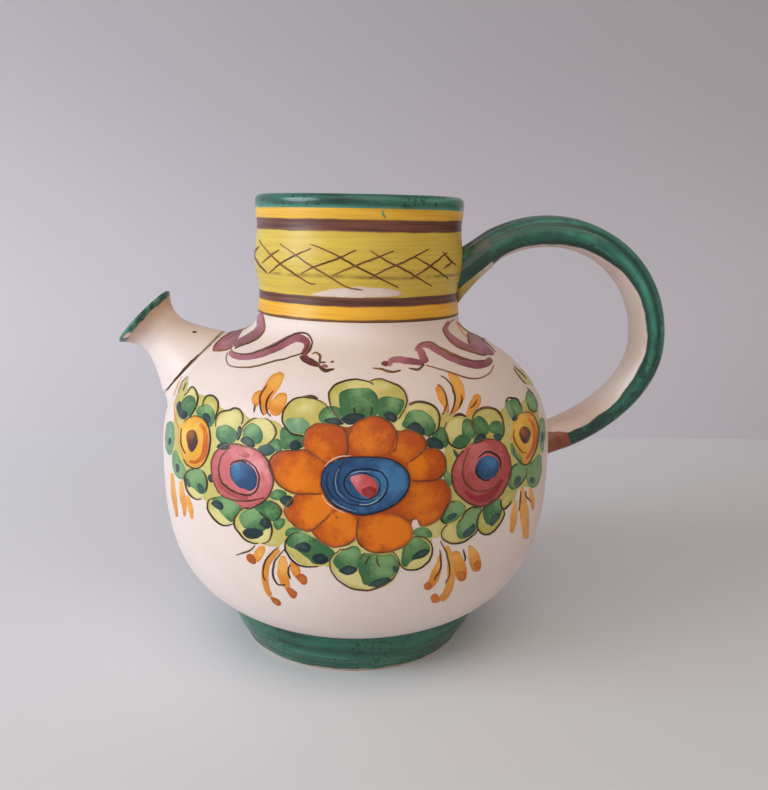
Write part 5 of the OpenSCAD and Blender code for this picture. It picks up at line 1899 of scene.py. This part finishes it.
@dataclass(frozen=True)
class LeftSpray(Motif):
    """The rose, the small flower and the leaves to the left of the middle flower."""

    dabs: tuple[Dab, ...] = (
        Dab(Pigment.WASH, (286, 436, 280, 448, 275, 457, 272, 470, 276, 490, 286, 510, 290, 526, 286, 540,
            276, 547, 262, 544, 245, 536, 233, 522, 222, 521, 211, 511, 203, 498, 192, 494, 184, 482, 176,
            470, 172, 455, 172, 430, 176, 410, 181, 396, 190, 388, 200, 394, 212, 397, 219, 406, 230, 411,
            241, 411, 252, 420, 268, 420, 280, 424)),
        Dab(Pigment.WASH, (266, 468, 276, 477, 284, 487, 298, 492, 294, 502, 286, 511, 276, 508, 268, 498)),
        Dab(Pigment.LEAF, (187, 378, 183, 384, 179, 391, 176, 398, 175, 405, 178, 414, 182, 409, 184, 396,
            188, 384)),
        Dab(Pigment.LEAF, (183, 398, 186, 391, 191, 387, 196, 389, 198, 395, 197, 403, 194, 411, 190, 417,
            184, 421, 178, 418, 176, 410, 177, 402), (190, 392)),
        Dab(Pigment.GREEN, (183, 402, 186, 398, 190, 396, 194, 399, 195, 404, 193, 410, 189, 415, 184, 417,
            181, 413)),
        Dab(Pigment.DARK, (176, 408, 178, 402, 181, 401, 182, 409, 188, 413, 186, 419, 180, 418)),
        Dab(Pigment.LEAF, (203, 407, 205, 400, 209, 396, 214, 398, 217.5, 404, 217, 412, 214, 420, 211, 426,
            206, 424, 202, 416)),
        Dab(Pigment.GREEN, (197, 412, 199, 408, 204, 405, 209, 406, 213, 411, 214, 418, 212, 424, 209, 426,
            205, 423, 200, 417), (207, 408)),
        Dab(Pigment.DARK, (202, 415, 205, 412.5, 209, 414, 211, 419, 209, 424, 205, 420)),
        Dab(Pigment.PALE, (166, 427, 168, 422, 172, 422, 174, 428, 174, 440, 173, 449, 170, 455, 167, 452,
            165.5, 444)),
        Dab(Pigment.YELLOW, (190, 418, 196, 416.5, 203, 419, 208, 427, 210, 437, 209, 448, 206, 459, 201,
            466, 195, 468, 188, 465, 183, 458, 180, 449, 178, 440, 179, 430, 183, 422), (186, 436)),
        Dab(Pigment.UMBER, (187, 433, 190, 430, 194, 430, 197, 434, 198, 441, 196, 448, 193, 452, 190, 451,
            188, 446, 187, 439), (190, 434)),
        Dab(Pigment.LEAF, (216, 427, 217, 421, 220, 415, 225, 411.5, 231, 409.5, 237, 409, 241, 412, 243,
            418, 242.5, 424, 240, 430, 238, 437, 236, 442, 228, 446, 220, 443, 217, 436), (229, 416)),
        Dab(Pigment.GREEN, (217, 430, 220, 427, 226, 425.5, 231, 428, 236, 432, 236, 438, 231, 443, 223,
            443, 218, 438), (226, 428)),
        Dab(Pigment.DARK, (216, 447, 220, 443, 226, 442, 231, 444, 228, 449, 222, 450)),
        Dab(Pigment.DARK, (238, 427, 241, 426, 242, 432, 240, 438, 237, 441)),
        Dab(Pigment.LEAF, (242, 433, 243, 427, 247, 422, 253, 419, 260, 418, 267, 419, 273, 423, 276, 429,
            276, 435, 273, 441, 268, 446, 262, 447, 255, 445, 248, 441, 243, 438), (266, 426)),
        Dab(Pigment.GREEN, (244, 431, 248, 426, 253, 424, 258, 427, 261, 432, 262, 438, 258, 443, 250, 442,
            245, 438), (252, 428)),
        Dab(Pigment.DARK, (240, 441, 244, 436, 250, 437, 254, 441, 255, 447, 249, 446)),
        Dab(Pigment.DARK, (257, 450, 260, 446, 267, 444, 273, 446, 275, 451, 271, 455, 266, 456, 260, 453)),
        Dab(Pigment.GREEN, (269, 446, 273, 441, 278, 440, 281, 445, 280, 452, 274, 449)),
        Dab(Pigment.ROSE, (212, 470, 212, 463, 214, 456, 218, 450, 226, 445.5, 234, 444.5, 243, 446, 252,
            448.5, 259, 452, 265, 458, 269, 464, 272, 472, 273, 481, 271, 489, 268, 496, 263, 501, 257, 505,
            250, 508, 243, 508, 232, 500, 220, 494, 216, 486, 213, 479), (258, 470)),
        Dab(Pigment.BLUE, (230, 473, 230, 468, 233, 464, 238, 462.5, 245, 463, 251, 466, 255, 471, 257, 477,
            257, 484, 254, 489, 250, 491, 245, 489, 239, 487, 234, 482, 231, 478), (236, 467)),
        Dab(Pigment.GREEN, (173, 456, 176, 451, 178, 455, 180, 462, 184, 468, 186, 474, 183, 478, 178, 477,
            175, 471)),
        Dab(Pigment.DARK, (175.5, 464, 178, 463, 180, 468, 179, 473, 176.5, 472)),
        Dab(Pigment.LEAF, (185, 480, 187, 473, 192, 470, 200, 470, 205, 474, 208, 482, 207, 490, 203, 496,
            197, 499, 191, 495, 187, 488), (196, 494)),
        Dab(Pigment.GREEN, (186, 476, 189, 470, 195, 469, 201, 471, 206, 478, 207, 486, 204, 493, 199, 492,
            194, 487, 189, 484), (196, 473)),
        Dab(Pigment.DARK, (184.5, 480, 187, 477.5, 190, 482, 191, 487, 188, 487)),
        Dab(Pigment.DARK, (197, 485, 200, 482.5, 204, 487, 205, 491, 202, 494, 199, 491)),
        Dab(Pigment.DARK, (208, 476, 211, 474, 213, 479, 212, 483, 209, 481)),
        Dab(Pigment.LEAF, (208, 503, 211, 499, 217, 498, 224, 500, 230, 504, 235, 509, 236, 516, 233, 521,
            227, 524.5, 220, 523, 213, 517, 209, 510), (222, 518)),
        Dab(Pigment.GREEN, (213, 500, 221, 497, 228, 500, 241, 506, 238, 512, 235, 518, 231, 521, 226, 517,
            217, 506), (228, 503)),
        Dab(Pigment.DARK, (211, 503, 215, 500, 221, 501, 224, 506, 223, 510, 219, 510, 214, 507)),
        Dab(Pigment.LEAF, (234, 521, 236, 514, 242, 509, 250, 508, 258, 510, 265, 514, 270, 520, 272, 528,
            271, 536, 267, 542, 261, 544, 254, 543, 246, 540, 239, 533), (262, 538)),
        Dab(Pigment.GREEN, (240, 517, 244, 512, 251, 510, 258, 512, 264, 516, 268, 522, 262, 531, 247, 528,
            242, 523), (251, 514)),
        Dab(Pigment.DARK, (259, 523, 262, 518, 266, 518, 270, 523, 270, 528, 265, 529)),
        Dab(Pigment.DARK, (242, 532, 247, 528, 255, 527.5, 262, 530, 264, 534, 259, 538, 252, 539, 246,
            537)),
        Dab(Pigment.GREEN, (255, 508, 262, 503, 270, 502, 277, 506, 280, 512, 277, 518, 271, 520, 265,
            514)),
        Dab(Pigment.GREEN, (270, 496, 275, 491, 281, 491, 286, 494, 281, 498, 275, 499)),
        Dab(Pigment.DARK, (279, 499, 284, 495, 290, 495.5, 294, 499, 293, 504, 288, 508, 282, 504)),
        Dab(Pigment.GREEN, (274, 523, 279, 519, 284, 520, 283, 525, 278, 529)),
    )
    strokes: tuple[Stroke, ...] = (
        Stroke(Pigment.SPRIG, (174, 400, 174.5, 411, 176.5, 422, 180, 431), (0.6, 1.6, 1.4)),
        Stroke(Pigment.LINE, (184, 397, 190, 389, 193, 387, 196, 391, 198, 397, 197, 404, 194, 411, 190,
            417, 185, 420.5)),
        Stroke(Pigment.LINE, (202, 408, 204, 401, 206, 397, 210, 395, 215, 397, 218, 402, 218, 408, 216,
            415, 214, 421)),
        Stroke(Pigment.DARK, (170, 436, 170, 441, 169.5, 446), (1.4, 3.2, 1.4)),
        Stroke(Pigment.ORANGE, (199, 422.5, 204, 429, 206, 438, 205.5, 448, 202.5, 457, 196, 462, 188,
            461), (4.0, 7.0, 3.5)),
        Stroke(Pigment.LINE, (183, 422, 190, 417.5, 196, 416, 203, 418.5, 208.5, 427, 210.5, 437, 209.5,
            448, 206.5, 459, 201, 466.5, 195, 468.5, 188, 465.5, 183, 458), (0.8, 1.5, 0.8)),
        Stroke(Pigment.LINE, (182, 427, 181, 436, 182, 446, 186, 455), (0.8, 1.3, 0.8)),
        Stroke(Pigment.LINE, (216, 428, 216, 420, 219, 413.5, 224, 411, 230, 410, 234, 408, 239, 409, 242,
            413, 243, 420, 241, 425)),
        Stroke(Pigment.LINE, (242, 432, 243, 427, 248, 422, 253, 418.5, 258, 418)),
        Stroke(Pigment.LINE, (264, 418, 269, 420.5, 273, 425, 276, 431, 274, 438, 267, 445)),
        Stroke(Pigment.MADDER, (215, 463, 216.5, 475, 221, 485, 230, 492, 240, 497, 250,
            498), (3.5, 6.5, 4.0)),
        Stroke(Pigment.MADDER, (237, 453, 244, 454, 251, 457), (3.0, 6.5, 3.0)),
        Stroke(Pigment.LINE, (220, 494, 215.5, 486, 212.5, 479, 211.5, 470, 211.5, 463, 213.5, 456, 218,
            449.5, 226, 445, 234, 444, 243, 445.5, 252, 448, 259.5, 451.5, 265.5, 457.5, 269.5, 464, 272.5,
            472, 273.5, 481, 271.5, 489, 268.5, 496, 263.5, 501.5, 257, 505.5, 250, 508.5, 243,
            508), (1.0, 1.6, 1.2)),
        Stroke(Pigment.LINE, (220, 494, 226, 498, 234, 500, 243, 501, 252, 500.5, 266, 497)),
        Stroke(Pigment.LINE, (232, 446.5, 226, 451, 221, 458, 219, 467, 219.5, 475, 222, 482, 227, 487, 233,
            491, 240, 494, 248, 495, 253, 493.5, 257, 489, 259, 483, 259, 476, 257, 470, 253, 465, 247, 461,
            240, 460), (1.0, 1.9, 1.0)),
        Stroke(Pigment.NAVY, (230, 466, 233, 462.5, 240, 461, 248, 463.5), (1.0, 1.9, 1.0)),
        Stroke(Pigment.LINE, (195, 468.5, 188, 471, 185, 476, 185, 482, 187, 489, 191, 496, 197, 499.5, 203,
            498.5)),
        Stroke(Pigment.LINE, (201, 470, 205, 474, 207, 480, 207, 486, 205, 492)),
        Stroke(Pigment.LINE, (217, 497.5, 210, 499, 208, 503, 208, 509, 211, 515, 216, 521, 222, 525, 228,
            525.5, 233, 523.5, 236, 519)),
        Stroke(Pigment.LINE, (250, 507.5, 244, 508, 240, 511, 236, 516, 234, 521, 235, 527, 239, 533, 244,
            538.5, 250, 542, 255, 544, 259, 543)),
        Stroke(Pigment.LINE, (261, 544, 266, 542.5, 270, 539, 272, 532, 271, 525, 268, 519, 258, 511.5)),
        Stroke(Pigment.LINE, (256, 545, 250, 550, 243, 553, 235, 555), (1.0, 1.5, 0.6)),
        Stroke(Pigment.LINE, (269, 500, 275, 503, 280, 508, 281.5, 512, 279, 517, 275, 520)),
        Stroke(Pigment.SPRIG, (183, 375.5, 179, 382, 175.5, 390, 174, 397), (0.6, 1.2, 1.2)),
        Stroke(Pigment.GREEN, (189, 379.5, 187.5, 377, 183.5, 380.5, 180, 387, 178, 394), (0.7, 1.2, 0.7)),
        Stroke(Pigment.SEPIA, (186.5, 382, 184.5, 387, 183, 391.5), (0.5, 0.9, 0.5)),
    )


@dataclass(frozen=True)
class Sprigs(Motif):
    """The orange sprigs above, below and beside the garland."""

    dabs: tuple[Dab, ...] = (
        Dab(Pigment.SPRIG, (262, 391, 265, 385, 270, 377, 276, 373, 281, 372.5, 284, 375, 282, 381, 279,
            388, 272, 397, 268, 412, 263, 414, 260, 402), (276, 380)),
        Dab(Pigment.SPRIG, (252, 399, 254, 394, 258, 391, 263, 391, 261, 397, 257, 407, 253, 404)),
        Dab(Pigment.SPRIG, (276, 396, 281, 393, 286, 394, 287, 399, 285, 406, 281, 413, 275, 416, 270, 412,
            270, 404), (281, 400)),
        Dab(Pigment.SPRIG, (448, 373, 455, 375, 461, 381, 464, 390, 464, 398, 460, 407, 455, 413, 451, 414,
            454, 406, 455, 397, 452, 386), (456, 380)),
        Dab(Pigment.SPRIG, (436, 387, 440, 386.5, 444, 391, 447, 398, 449, 412, 446, 412, 443, 406, 439,
            400, 436, 393)),
        Dab(Pigment.SPRIG, (472, 399, 474, 395, 477, 394, 480, 396, 481, 401, 479, 406, 474, 411, 469, 416,
            466, 416, 467, 411)),
        Dab(Pigment.SPRIG, (258, 548, 262, 546, 265, 547, 264, 553, 260, 560, 257, 562, 253, 556)),
        Dab(Pigment.TIP, (247, 555, 250, 554, 254, 556, 256, 560, 255, 564, 251, 563, 247, 559)),
        Dab(Pigment.TIP, (270, 597, 275, 598, 280, 601, 281, 604, 278, 605.5, 273, 602)),
        Dab(Pigment.SPRIG, (281, 556, 285, 557, 287, 563, 288, 572, 289, 580, 290, 590, 284, 587, 280, 582,
            278, 574, 278, 565), (283, 562)),
        Dab(Pigment.TIP, (286, 589, 290, 588, 295, 591, 297, 594, 295, 598, 291, 597)),
        Dab(Pigment.SPRIG, (290, 562, 295, 563, 299, 567, 300, 573, 298, 578, 294, 576, 291, 570)),
        Dab(Pigment.TIP, (296, 577, 299, 574, 304, 575, 307, 579, 306, 584, 302, 584)),
        Dab(Pigment.SPRIG, (438, 556, 441, 554, 442, 560, 441, 568, 440, 574, 438, 580, 435, 585, 432, 588,
            428, 590, 425, 589, 424, 587, 428, 581, 431, 575, 433, 570, 436, 563), (438, 562)),
        Dab(Pigment.TIP, (424, 586, 426, 583, 429, 582, 432, 584, 432, 587, 429, 589.5, 426, 589.5)),
        Dab(Pigment.TIP, (431, 597, 433, 594.5, 436, 594, 439, 597, 440, 600, 438, 602, 433, 603, 431.5,
            600)),
        Dab(Pigment.SPRIG, (452, 553, 456, 551, 460, 553, 463, 559, 465, 565, 466.5, 571, 466, 578, 463,
            581, 458, 580, 456, 575, 454, 565), (457, 557)),
        Dab(Pigment.TIP, (457, 572, 461, 571, 465, 572, 466, 577, 463, 580.5, 459, 579.5, 457, 576)),
        Dab(Pigment.SPRIG, (468.5, 547, 470, 545.5, 474, 548, 478, 553, 480, 558, 481, 564, 480, 570, 476,
            571.5, 472, 570.5, 470.5, 566, 469, 558), (472, 551)),
        Dab(Pigment.TIP, (474, 563, 477, 560, 480, 561, 481, 565, 479, 569, 475.5, 569, 474, 566)),
    )
    strokes: tuple[Stroke, ...] = (
        Stroke(Pigment.SPRIG, (280, 549, 273, 556, 267, 564, 265, 572, 265, 580, 267, 589, 271,
            597), (5.0, 8.0, 5.5)),
        Stroke(Pigment.SPRIG, (446, 545, 449, 552, 450.5, 560, 451, 570, 451, 578, 449, 587, 446, 594, 440,
            601), (5.0, 9.0, 8.0)),
        Stroke(Pigment.SPRIG, (172, 472, 173, 487, 175, 503, 177, 518), (3.5, 5.5, 3.0)),
        Stroke(Pigment.SPRIG, (181, 480, 182, 493, 184, 506, 185, 517), (4.0, 6.5, 3.0)),
        Stroke(Pigment.SPRIG, (187, 494, 189, 503, 191, 512, 192, 520), (4.0, 6.0, 3.0)),
        Stroke(Pigment.SPRIG, (516, 499, 514.5, 512, 513, 523, 511.5, 534), (3.0, 7.5, 4.5)),
        Stroke(Pigment.SPRIG, (522, 486, 523.5, 504, 525, 522, 526, 540), (4.5, 9.5, 6.5)),
        Stroke(Pigment.SPRIG, (530, 487, 532, 499, 533, 511), (3.0, 6.0, 2.5)),
        Stroke(Pigment.LINE, (520.5, 490, 520, 500, 519, 512), (0.8, 1.3, 0.6)),
        Stroke(Pigment.LINE, (526, 490, 526, 496, 533, 503), (0.8, 1.3, 0.6)),
        Stroke(Pigment.LINE, (255, 403.5, 254.5, 408, 254, 413), (0.9, 1.8, 0.8)),
        Stroke(Pigment.LINE, (268, 384, 263, 391, 260, 397, 260, 404, 261, 411, 264, 416)),
        Stroke(Pigment.LINE, (274, 390, 270, 395, 267, 401, 266, 407, 268, 413, 272, 417)),
        Stroke(Pigment.LINE, (478, 398, 474, 405, 469, 409), (0.8, 1.4, 0.8)),
        Stroke(Pigment.LINE, (440, 375.5, 446, 379, 451, 385, 454, 393, 455, 400, 453, 408, 449, 416)),
        Stroke(Pigment.LINE, (436.5, 384.5, 441, 387, 445, 394, 447, 402, 445, 409, 442, 415.5)),
        Stroke(Pigment.LINE, (460.5, 394, 462, 400, 458, 410)),
        Stroke(Pigment.LINE, (279.5, 546, 273, 551.5, 268, 557, 264.5, 564, 263, 572, 264, 578, 266.5,
            581.5)),
        Stroke(Pigment.LINE, (286, 548, 280, 554, 275, 561, 273, 568, 273, 575, 275, 581, 279, 585, 287,
            584.5)),
        Stroke(Pigment.LINE, (290.5, 563, 288.5, 569, 288.5, 574, 291, 580)),
        Stroke(Pigment.LINE, (439.5, 549, 440, 553, 440.5, 559, 441, 565, 440, 570, 437, 575, 433.5, 581)),
        Stroke(Pigment.LINE, (440, 540, 443, 546, 446, 552, 448, 559, 449.5, 567, 449.5, 573, 448, 578, 445,
            584)),
        Stroke(Pigment.LINE, (463, 549, 464, 552, 465, 557, 464.5, 562), (0.9, 1.8, 0.9)),
    )


@dataclass(frozen=True)
class Ribbons(Motif):
    """The two mauve ribbons that fall from the shoulder line to the garland."""

    dabs: tuple[Dab, ...] = (
        Dab(Pigment.MAUVE, (213, 351, 214, 347, 219, 341, 226, 336, 233, 331, 244, 325.5, 239, 336, 231,
            346, 229, 349, 222, 350), (224, 344)),
        Dab(Pigment.PLUM, (300, 357, 304, 356, 316, 361, 320, 364, 318, 367, 304, 362)),
        Dab(Pigment.MAUVE, (467, 333, 475, 336, 481, 340, 488, 346, 494, 353, 491, 355.5, 478, 351, 469,
            344), (474, 343)),
        Dab(Pigment.PLUM, (381, 364, 384, 361.5, 388, 362, 387, 366)),
    )
    strokes: tuple[Stroke, ...] = (
        Stroke(Pigment.MAUVE, (259, 312, 260, 320, 260, 327, 256, 333, 248, 338, 239, 342, 233,
            346), (6.0, 9.5, 6.0)),
        Stroke(Pigment.MAUVE, (230, 350, 232, 355, 241, 357.5, 253, 356, 266, 351.5, 280, 345, 291, 339,
            300, 338, 306, 341, 307, 347, 304, 354, 310, 361, 319, 366), (5.0, 10.0, 4.5)),
        Stroke(Pigment.MAUVE, (321, 365, 325, 366, 329, 367), (2.0, 3.0, 2.0)),
        Stroke(Pigment.MAUVE, (450, 321, 446, 327, 447, 333, 453, 340, 462, 345.5, 473, 350, 486,
            355), (4.5, 9.0, 5.0)),
        Stroke(Pigment.MAUVE, (416, 352, 420, 346, 428, 345, 438, 350, 450, 356, 462, 361, 475, 364.5, 486,
            363.5, 492, 358), (6.0, 9.5, 8.0)),
        Stroke(Pigment.MAUVE, (420, 348, 423, 357, 428, 363), (8.0, 8.5, 6.5)),
        Stroke(Pigment.MAUVE, (388, 367, 391, 360.5, 397, 359.5, 406, 360.5, 414, 361.5, 425,
            363.5), (6.0, 7.5, 6.0)),
        Stroke(Pigment.SPRIG, (456, 322, 461, 330, 467, 338), (1.2, 1.8, 1.2)),
        Stroke(Pigment.SEPIA, (469, 333, 468.5, 339, 470, 345), (0.7, 1.2, 0.7)),
        Stroke(Pigment.SEPIA, (262, 313, 264.5, 322, 264, 330, 259, 337, 250, 342, 240, 346, 234,
            349), (1.2, 2.0, 1.0)),
        Stroke(Pigment.SEPIA, (231, 346, 232, 351, 239, 354, 249, 354, 262, 350, 275, 345, 288, 337.5, 298,
            333, 307, 334, 311.5, 340, 311, 348, 306, 355), (1.0, 2.0, 1.2)),
        Stroke(Pigment.SEPIA, (228, 352, 226, 358, 227, 363, 231, 366.5, 240, 367.5, 252, 367, 263, 364.5,
            275, 361, 286, 358.5, 302, 353.5, 306, 349, 309, 342), (0.8, 1.3, 0.8)),
        Stroke(Pigment.SEPIA, (317, 362, 320, 367, 326, 370.5, 335, 368.5), (1.6, 3.4, 1.4)),
        Stroke(Pigment.SEPIA, (311, 354, 316, 352.5, 320, 356, 320, 362, 327, 362.5), (1.0, 2.0, 1.0)),
        Stroke(Pigment.SEPIA, (213, 351, 214, 346.5, 219, 340.5, 226, 335.5, 233, 330.5, 243,
            325), (0.7, 1.2, 0.7)),
        Stroke(Pigment.SEPIA, (213, 351, 222, 350.5, 229, 349, 234, 345), (0.7, 1.4, 0.9)),
        Stroke(Pigment.LINE, (330, 362.5, 332, 361.8, 334, 361), (1.0, 1.6, 1.0)),
        Stroke(Pigment.SEPIA, (417, 350, 418, 346, 424, 342.5, 431, 342.5, 440, 348, 450, 353.5, 462, 358,
            475, 361, 486, 360.5), (1.0, 2.0, 1.0)),
        Stroke(Pigment.SEPIA, (455, 319, 449, 323, 443.5, 328, 444, 332, 449, 339, 457, 346, 467, 350, 478,
            354, 488, 355.5), (0.9, 1.7, 0.9)),
        Stroke(Pigment.SEPIA, (456, 321, 462, 327, 469, 332, 476, 335, 483, 340, 491, 347, 496,
            353), (0.8, 1.4, 0.7)),
        Stroke(Pigment.SEPIA, (372, 368, 381, 369, 392, 372, 402, 370), (1.0, 2.2, 1.2)),
        Stroke(Pigment.LINE, (408, 368, 413, 369, 418, 369.5, 425, 364), (1.0, 2.0, 1.0)),
        Stroke(Pigment.SEPIA, (425, 365, 432, 367, 442, 370, 452, 373, 462, 376.5, 472, 378.5, 480, 378,
            487, 375, 491, 371, 494, 364), (0.8, 1.3, 0.8)),
    )


@dataclass(frozen=True)
class NeckLattice(Motif):
    """The lattice drawn round the neck's wide band."""

    strokes: tuple[Stroke, ...] = (
        Stroke(Pigment.SEPIA, (259, 239, 263, 246, 270, 254, 280, 263.5, 290, 271, 300, 277.5, 309, 283,
            316, 284)),
        Stroke(Pigment.SEPIA, (279, 243.5, 296, 255.5, 314, 267.5, 336, 281, 347, 287, 365, 290.5)),
        Stroke(Pigment.SEPIA, (309, 243.5, 332, 253, 350, 263, 375, 276, 399, 288)),
        Stroke(Pigment.SEPIA, (369, 250, 385, 260, 406, 270.5, 433, 287)),
        Stroke(Pigment.SEPIA, (413.5, 256, 431, 266.5, 446, 276.5, 448, 280)),
        Stroke(Pigment.SEPIA, (442, 251, 447, 257, 452, 262, 457, 265.5)),
        Stroke(Pigment.SEPIA, (253, 250, 255, 258, 261, 267, 268, 274)),
        Stroke(Pigment.SEPIA, (253, 255, 256, 250, 260, 246)),
        Stroke(Pigment.SEPIA, (261, 264, 270, 256, 280, 249)),
        Stroke(Pigment.SEPIA, (268, 274, 280, 264, 296, 255, 312, 248)),
        Stroke(Pigment.SEPIA, (300, 274, 316, 266, 338, 258.5, 357, 249.5)),
        Stroke(Pigment.SEPIA, (331, 276, 352, 267, 380, 256.5, 395, 250.5)),
        Stroke(Pigment.SEPIA, (368, 279, 385, 270, 405, 261.5, 430, 248.5)),
        Stroke(Pigment.SEPIA, (410, 279, 427, 268.5, 438, 260, 448, 252)),
        Stroke(Pigment.SEPIA, (443, 269.5, 448, 265, 453, 262)),
    )


@dataclass(frozen=True)
class FrontMarks(Motif):
    """The marks that only the photographed side has: the seam's cut, a pit, a bare patch and a drip."""

    dabs: tuple[Dab, ...] = (
        Dab(Pigment.SEPIA, (192.4, 332, 194, 331.3, 196.2, 332, 194.4, 332.8)),
        Dab(Pigment.MILK, (123.5, 337, 129, 332.5, 130.5, 334, 126, 337.5)),
        Dab(Pigment.MILK, (312, 294.5, 330, 289.5, 348, 288, 365, 287.5, 384, 288.5, 397, 290.5, 401, 295,
            380, 297, 340, 297)),
    )
    strokes: tuple[Stroke, ...] = (
        Stroke(Pigment.SEPIA, (212, 343, 203, 351, 195, 358, 188, 365, 181, 373, 175, 380, 170, 386, 166,
            391), (0.5, 1.0, 1.4)),
        Stroke(Pigment.LINE, (200, 353.5, 192, 361, 186, 367.5, 180, 374.5, 173, 382.5), (0.9, 2.5, 1.5)),
        Stroke(Pigment.UMBER, (123, 339.3, 126, 337.6, 130, 335), (0.8, 1.4, 0.8)),
        Stroke(Pigment.GREEN, (382, 209, 383, 214, 386, 219), (1.4, 2.2, 0.9)),
        Stroke(Pigment.SEPIA, (345, 287, 355, 289, 365, 290.5)),
    )
    both_sides: bool = False


@dataclass(frozen=True)
class Lamp:
    """A soft round lamp: its place and size in metres, its power in watts and its colour."""

    name: str
    at: Point3
    size: float
    power: float
    colour: Colour
    aim: Point3 = (0.0, 0.0, 0.1)

    def build(self) -> None:
        """Hangs the lamp so that it faces the jug."""
        data = bpy.data.lights.new(self.name, "AREA")
        data.shape, data.size, data.energy, data.color = "DISK", self.size, self.power, self.colour
        lamp = bpy.data.objects.new(self.name, data)
        lamp.location = self.at
        lamp.rotation_euler = (Vector(self.aim) - Vector(self.at)).to_track_quat("-Z", "Y").to_euler()
        bpy.context.scene.collection.objects.link(lamp)


@dataclass
class Studio:
    """A pale table and wall in soft window light from the left, with painted shade darkening the wall
    towards its top.
    """

    lamps: tuple[Lamp, ...] = (
        Lamp("window", (-1.15, -0.5, 0.48), 0.9, 13.0, (0.841, 0.913, 1.0)),
        Lamp("ceiling", (0.1, -0.95, 1.1), 1.8, 7.9, (1.0, 0.883, 0.767)),
    )
    wall_y: float = 330.0
    reach: float = 2200.0
    table: Colour = (0.73, 0.755, 0.797)
    wall: Colour = (0.605, 0.589, 0.647)
    # Heights over which the stage darkens as painted shade, and how dark it gets.
    painted_shade_heights: Point = (60.0, 380.0)
    painted_shade_share: float = 0.67
    air: Colour = (0.30, 0.245, 0.205)
    haze: Colour = (0.46, 0.42, 0.45)
    hollow: float = 46.0
    matt: float = 0.75

    def plain(self, name: str, colour: Colour) -> bpy.types.Material:
        """Returns a matt material for the stage.

        It is clear from its back and within the foot ring, so that it hides no side of the jug and
        lets light into the hollow under it.

        Args:
            name: The material's name.
            colour: Its colour near the table; higher up it darkens as painted shade.

        Returns:
            The material.
        """
        made = bpy.data.materials.new(name)
        made.use_nodes = True
        w = Wiring(made.node_tree)
        shader = made.node_tree.nodes["Principled BSDF"]
        # Painted shade: the colour darkens towards the top of the wall.
        upper = tuple(self.painted_shade_share * part for part in colour)
        w.feed(shader.inputs["Base Color"], w.blend(w.ramp(w.height(), *self.painted_shade_heights), colour, upper))
        shader.inputs["Roughness"].default_value = self.matt
        from_axis = w.node("ShaderNodeVectorMath", operation="LENGTH")
        w.feed(from_axis.inputs[0], w.place())
        under = w.math("LESS_THAN", from_axis.outputs["Value"], self.hollow * MM)
        clear = w.math("MAXIMUM", under, w.node("ShaderNodeNewGeometry").outputs["Backfacing"])
        sided = w.node("ShaderNodeMixShader")
        w.feed(sided.inputs[0], clear)
        w.feed(sided.inputs[1], shader.outputs["BSDF"])
        w.feed(sided.inputs[2], w.node("ShaderNodeBsdfTransparent").outputs["BSDF"])
        w.feed(made.node_tree.nodes["Material Output"].inputs["Surface"], sided.outputs["Shader"])
        return made

    def sheet(self, name: str, colour: Colour, matrix: Matrix) -> Piece:
        """Returns one flat sheet of the stage."""
        bm = bmesh.new()
        bmesh.ops.create_grid(bm, x_segments=1, y_segments=1, size=self.reach * MM)
        bmesh.ops.transform(bm, matrix=matrix, verts=bm.verts)
        mesh = bpy.data.meshes.new(name)
        bm.to_mesh(mesh)
        bm.free()
        made = bpy.data.objects.new(name, mesh)
        mesh.materials.append(self.plain(name, colour))
        bpy.context.scene.collection.objects.link(made)
        return made

    def build(self) -> None:
        """Builds the stage and its light."""
        floor = self.sheet("table", self.table, Matrix.Identity(4))
        upright = Matrix.Translation((0.0, self.wall_y * MM, 0.0)) @ Matrix.Rotation(math.pi / 2, 4, "X")
        self.sheet("wall", self.wall, upright)
        for lamp in self.lamps:
            lamp.build()
        world = bpy.data.worlds.new("air")
        world.use_nodes = True
        w = Wiring(world.node_tree)
        path = w.node("ShaderNodeLightPath")
        seen = w.math("MAXIMUM", path.outputs["Is Camera Ray"], path.outputs["Is Glossy Ray"])
        seen = w.math("MAXIMUM", seen, path.outputs["Is Transmission Ray"])
        w.feed(world.node_tree.nodes["Background"].inputs["Color"], w.blend(seen, self.air, self.haze))
        bpy.context.scene.world = world
        bpy.context.scene.view_settings.view_transform = "Standard"


GARLAND = (LeftSpray, RightSpray, CentreLeaves, CentreFlower, Sprigs, Ribbons, NeckLattice, FrontMarks)


def main() -> None:
    """Builds the jug, its paint, the stage and the camera."""
    logging.basicConfig(level=logging.INFO)
    SharedEffects().build()
    spout, neck, belly = Spout(), NeckCollar(), Belly()
    pieces = [belly.build(spout), FootRing().build(), neck.build(), RimBead().build()]
    pieces += spout.build(belly)
    pieces += Handle().build(neck, belly)
    LOG.info("built %d pieces", len(pieces))
    camera = PhotoCamera()
    noise.seed_set(HAND_SEED)
    painter = Painter(camera, pieces)
    painter.apply(motif() for motif in GARLAND)
    painter.finish()
    Studio().build()
    camera.build()


if __name__ == "__main__":
    main()
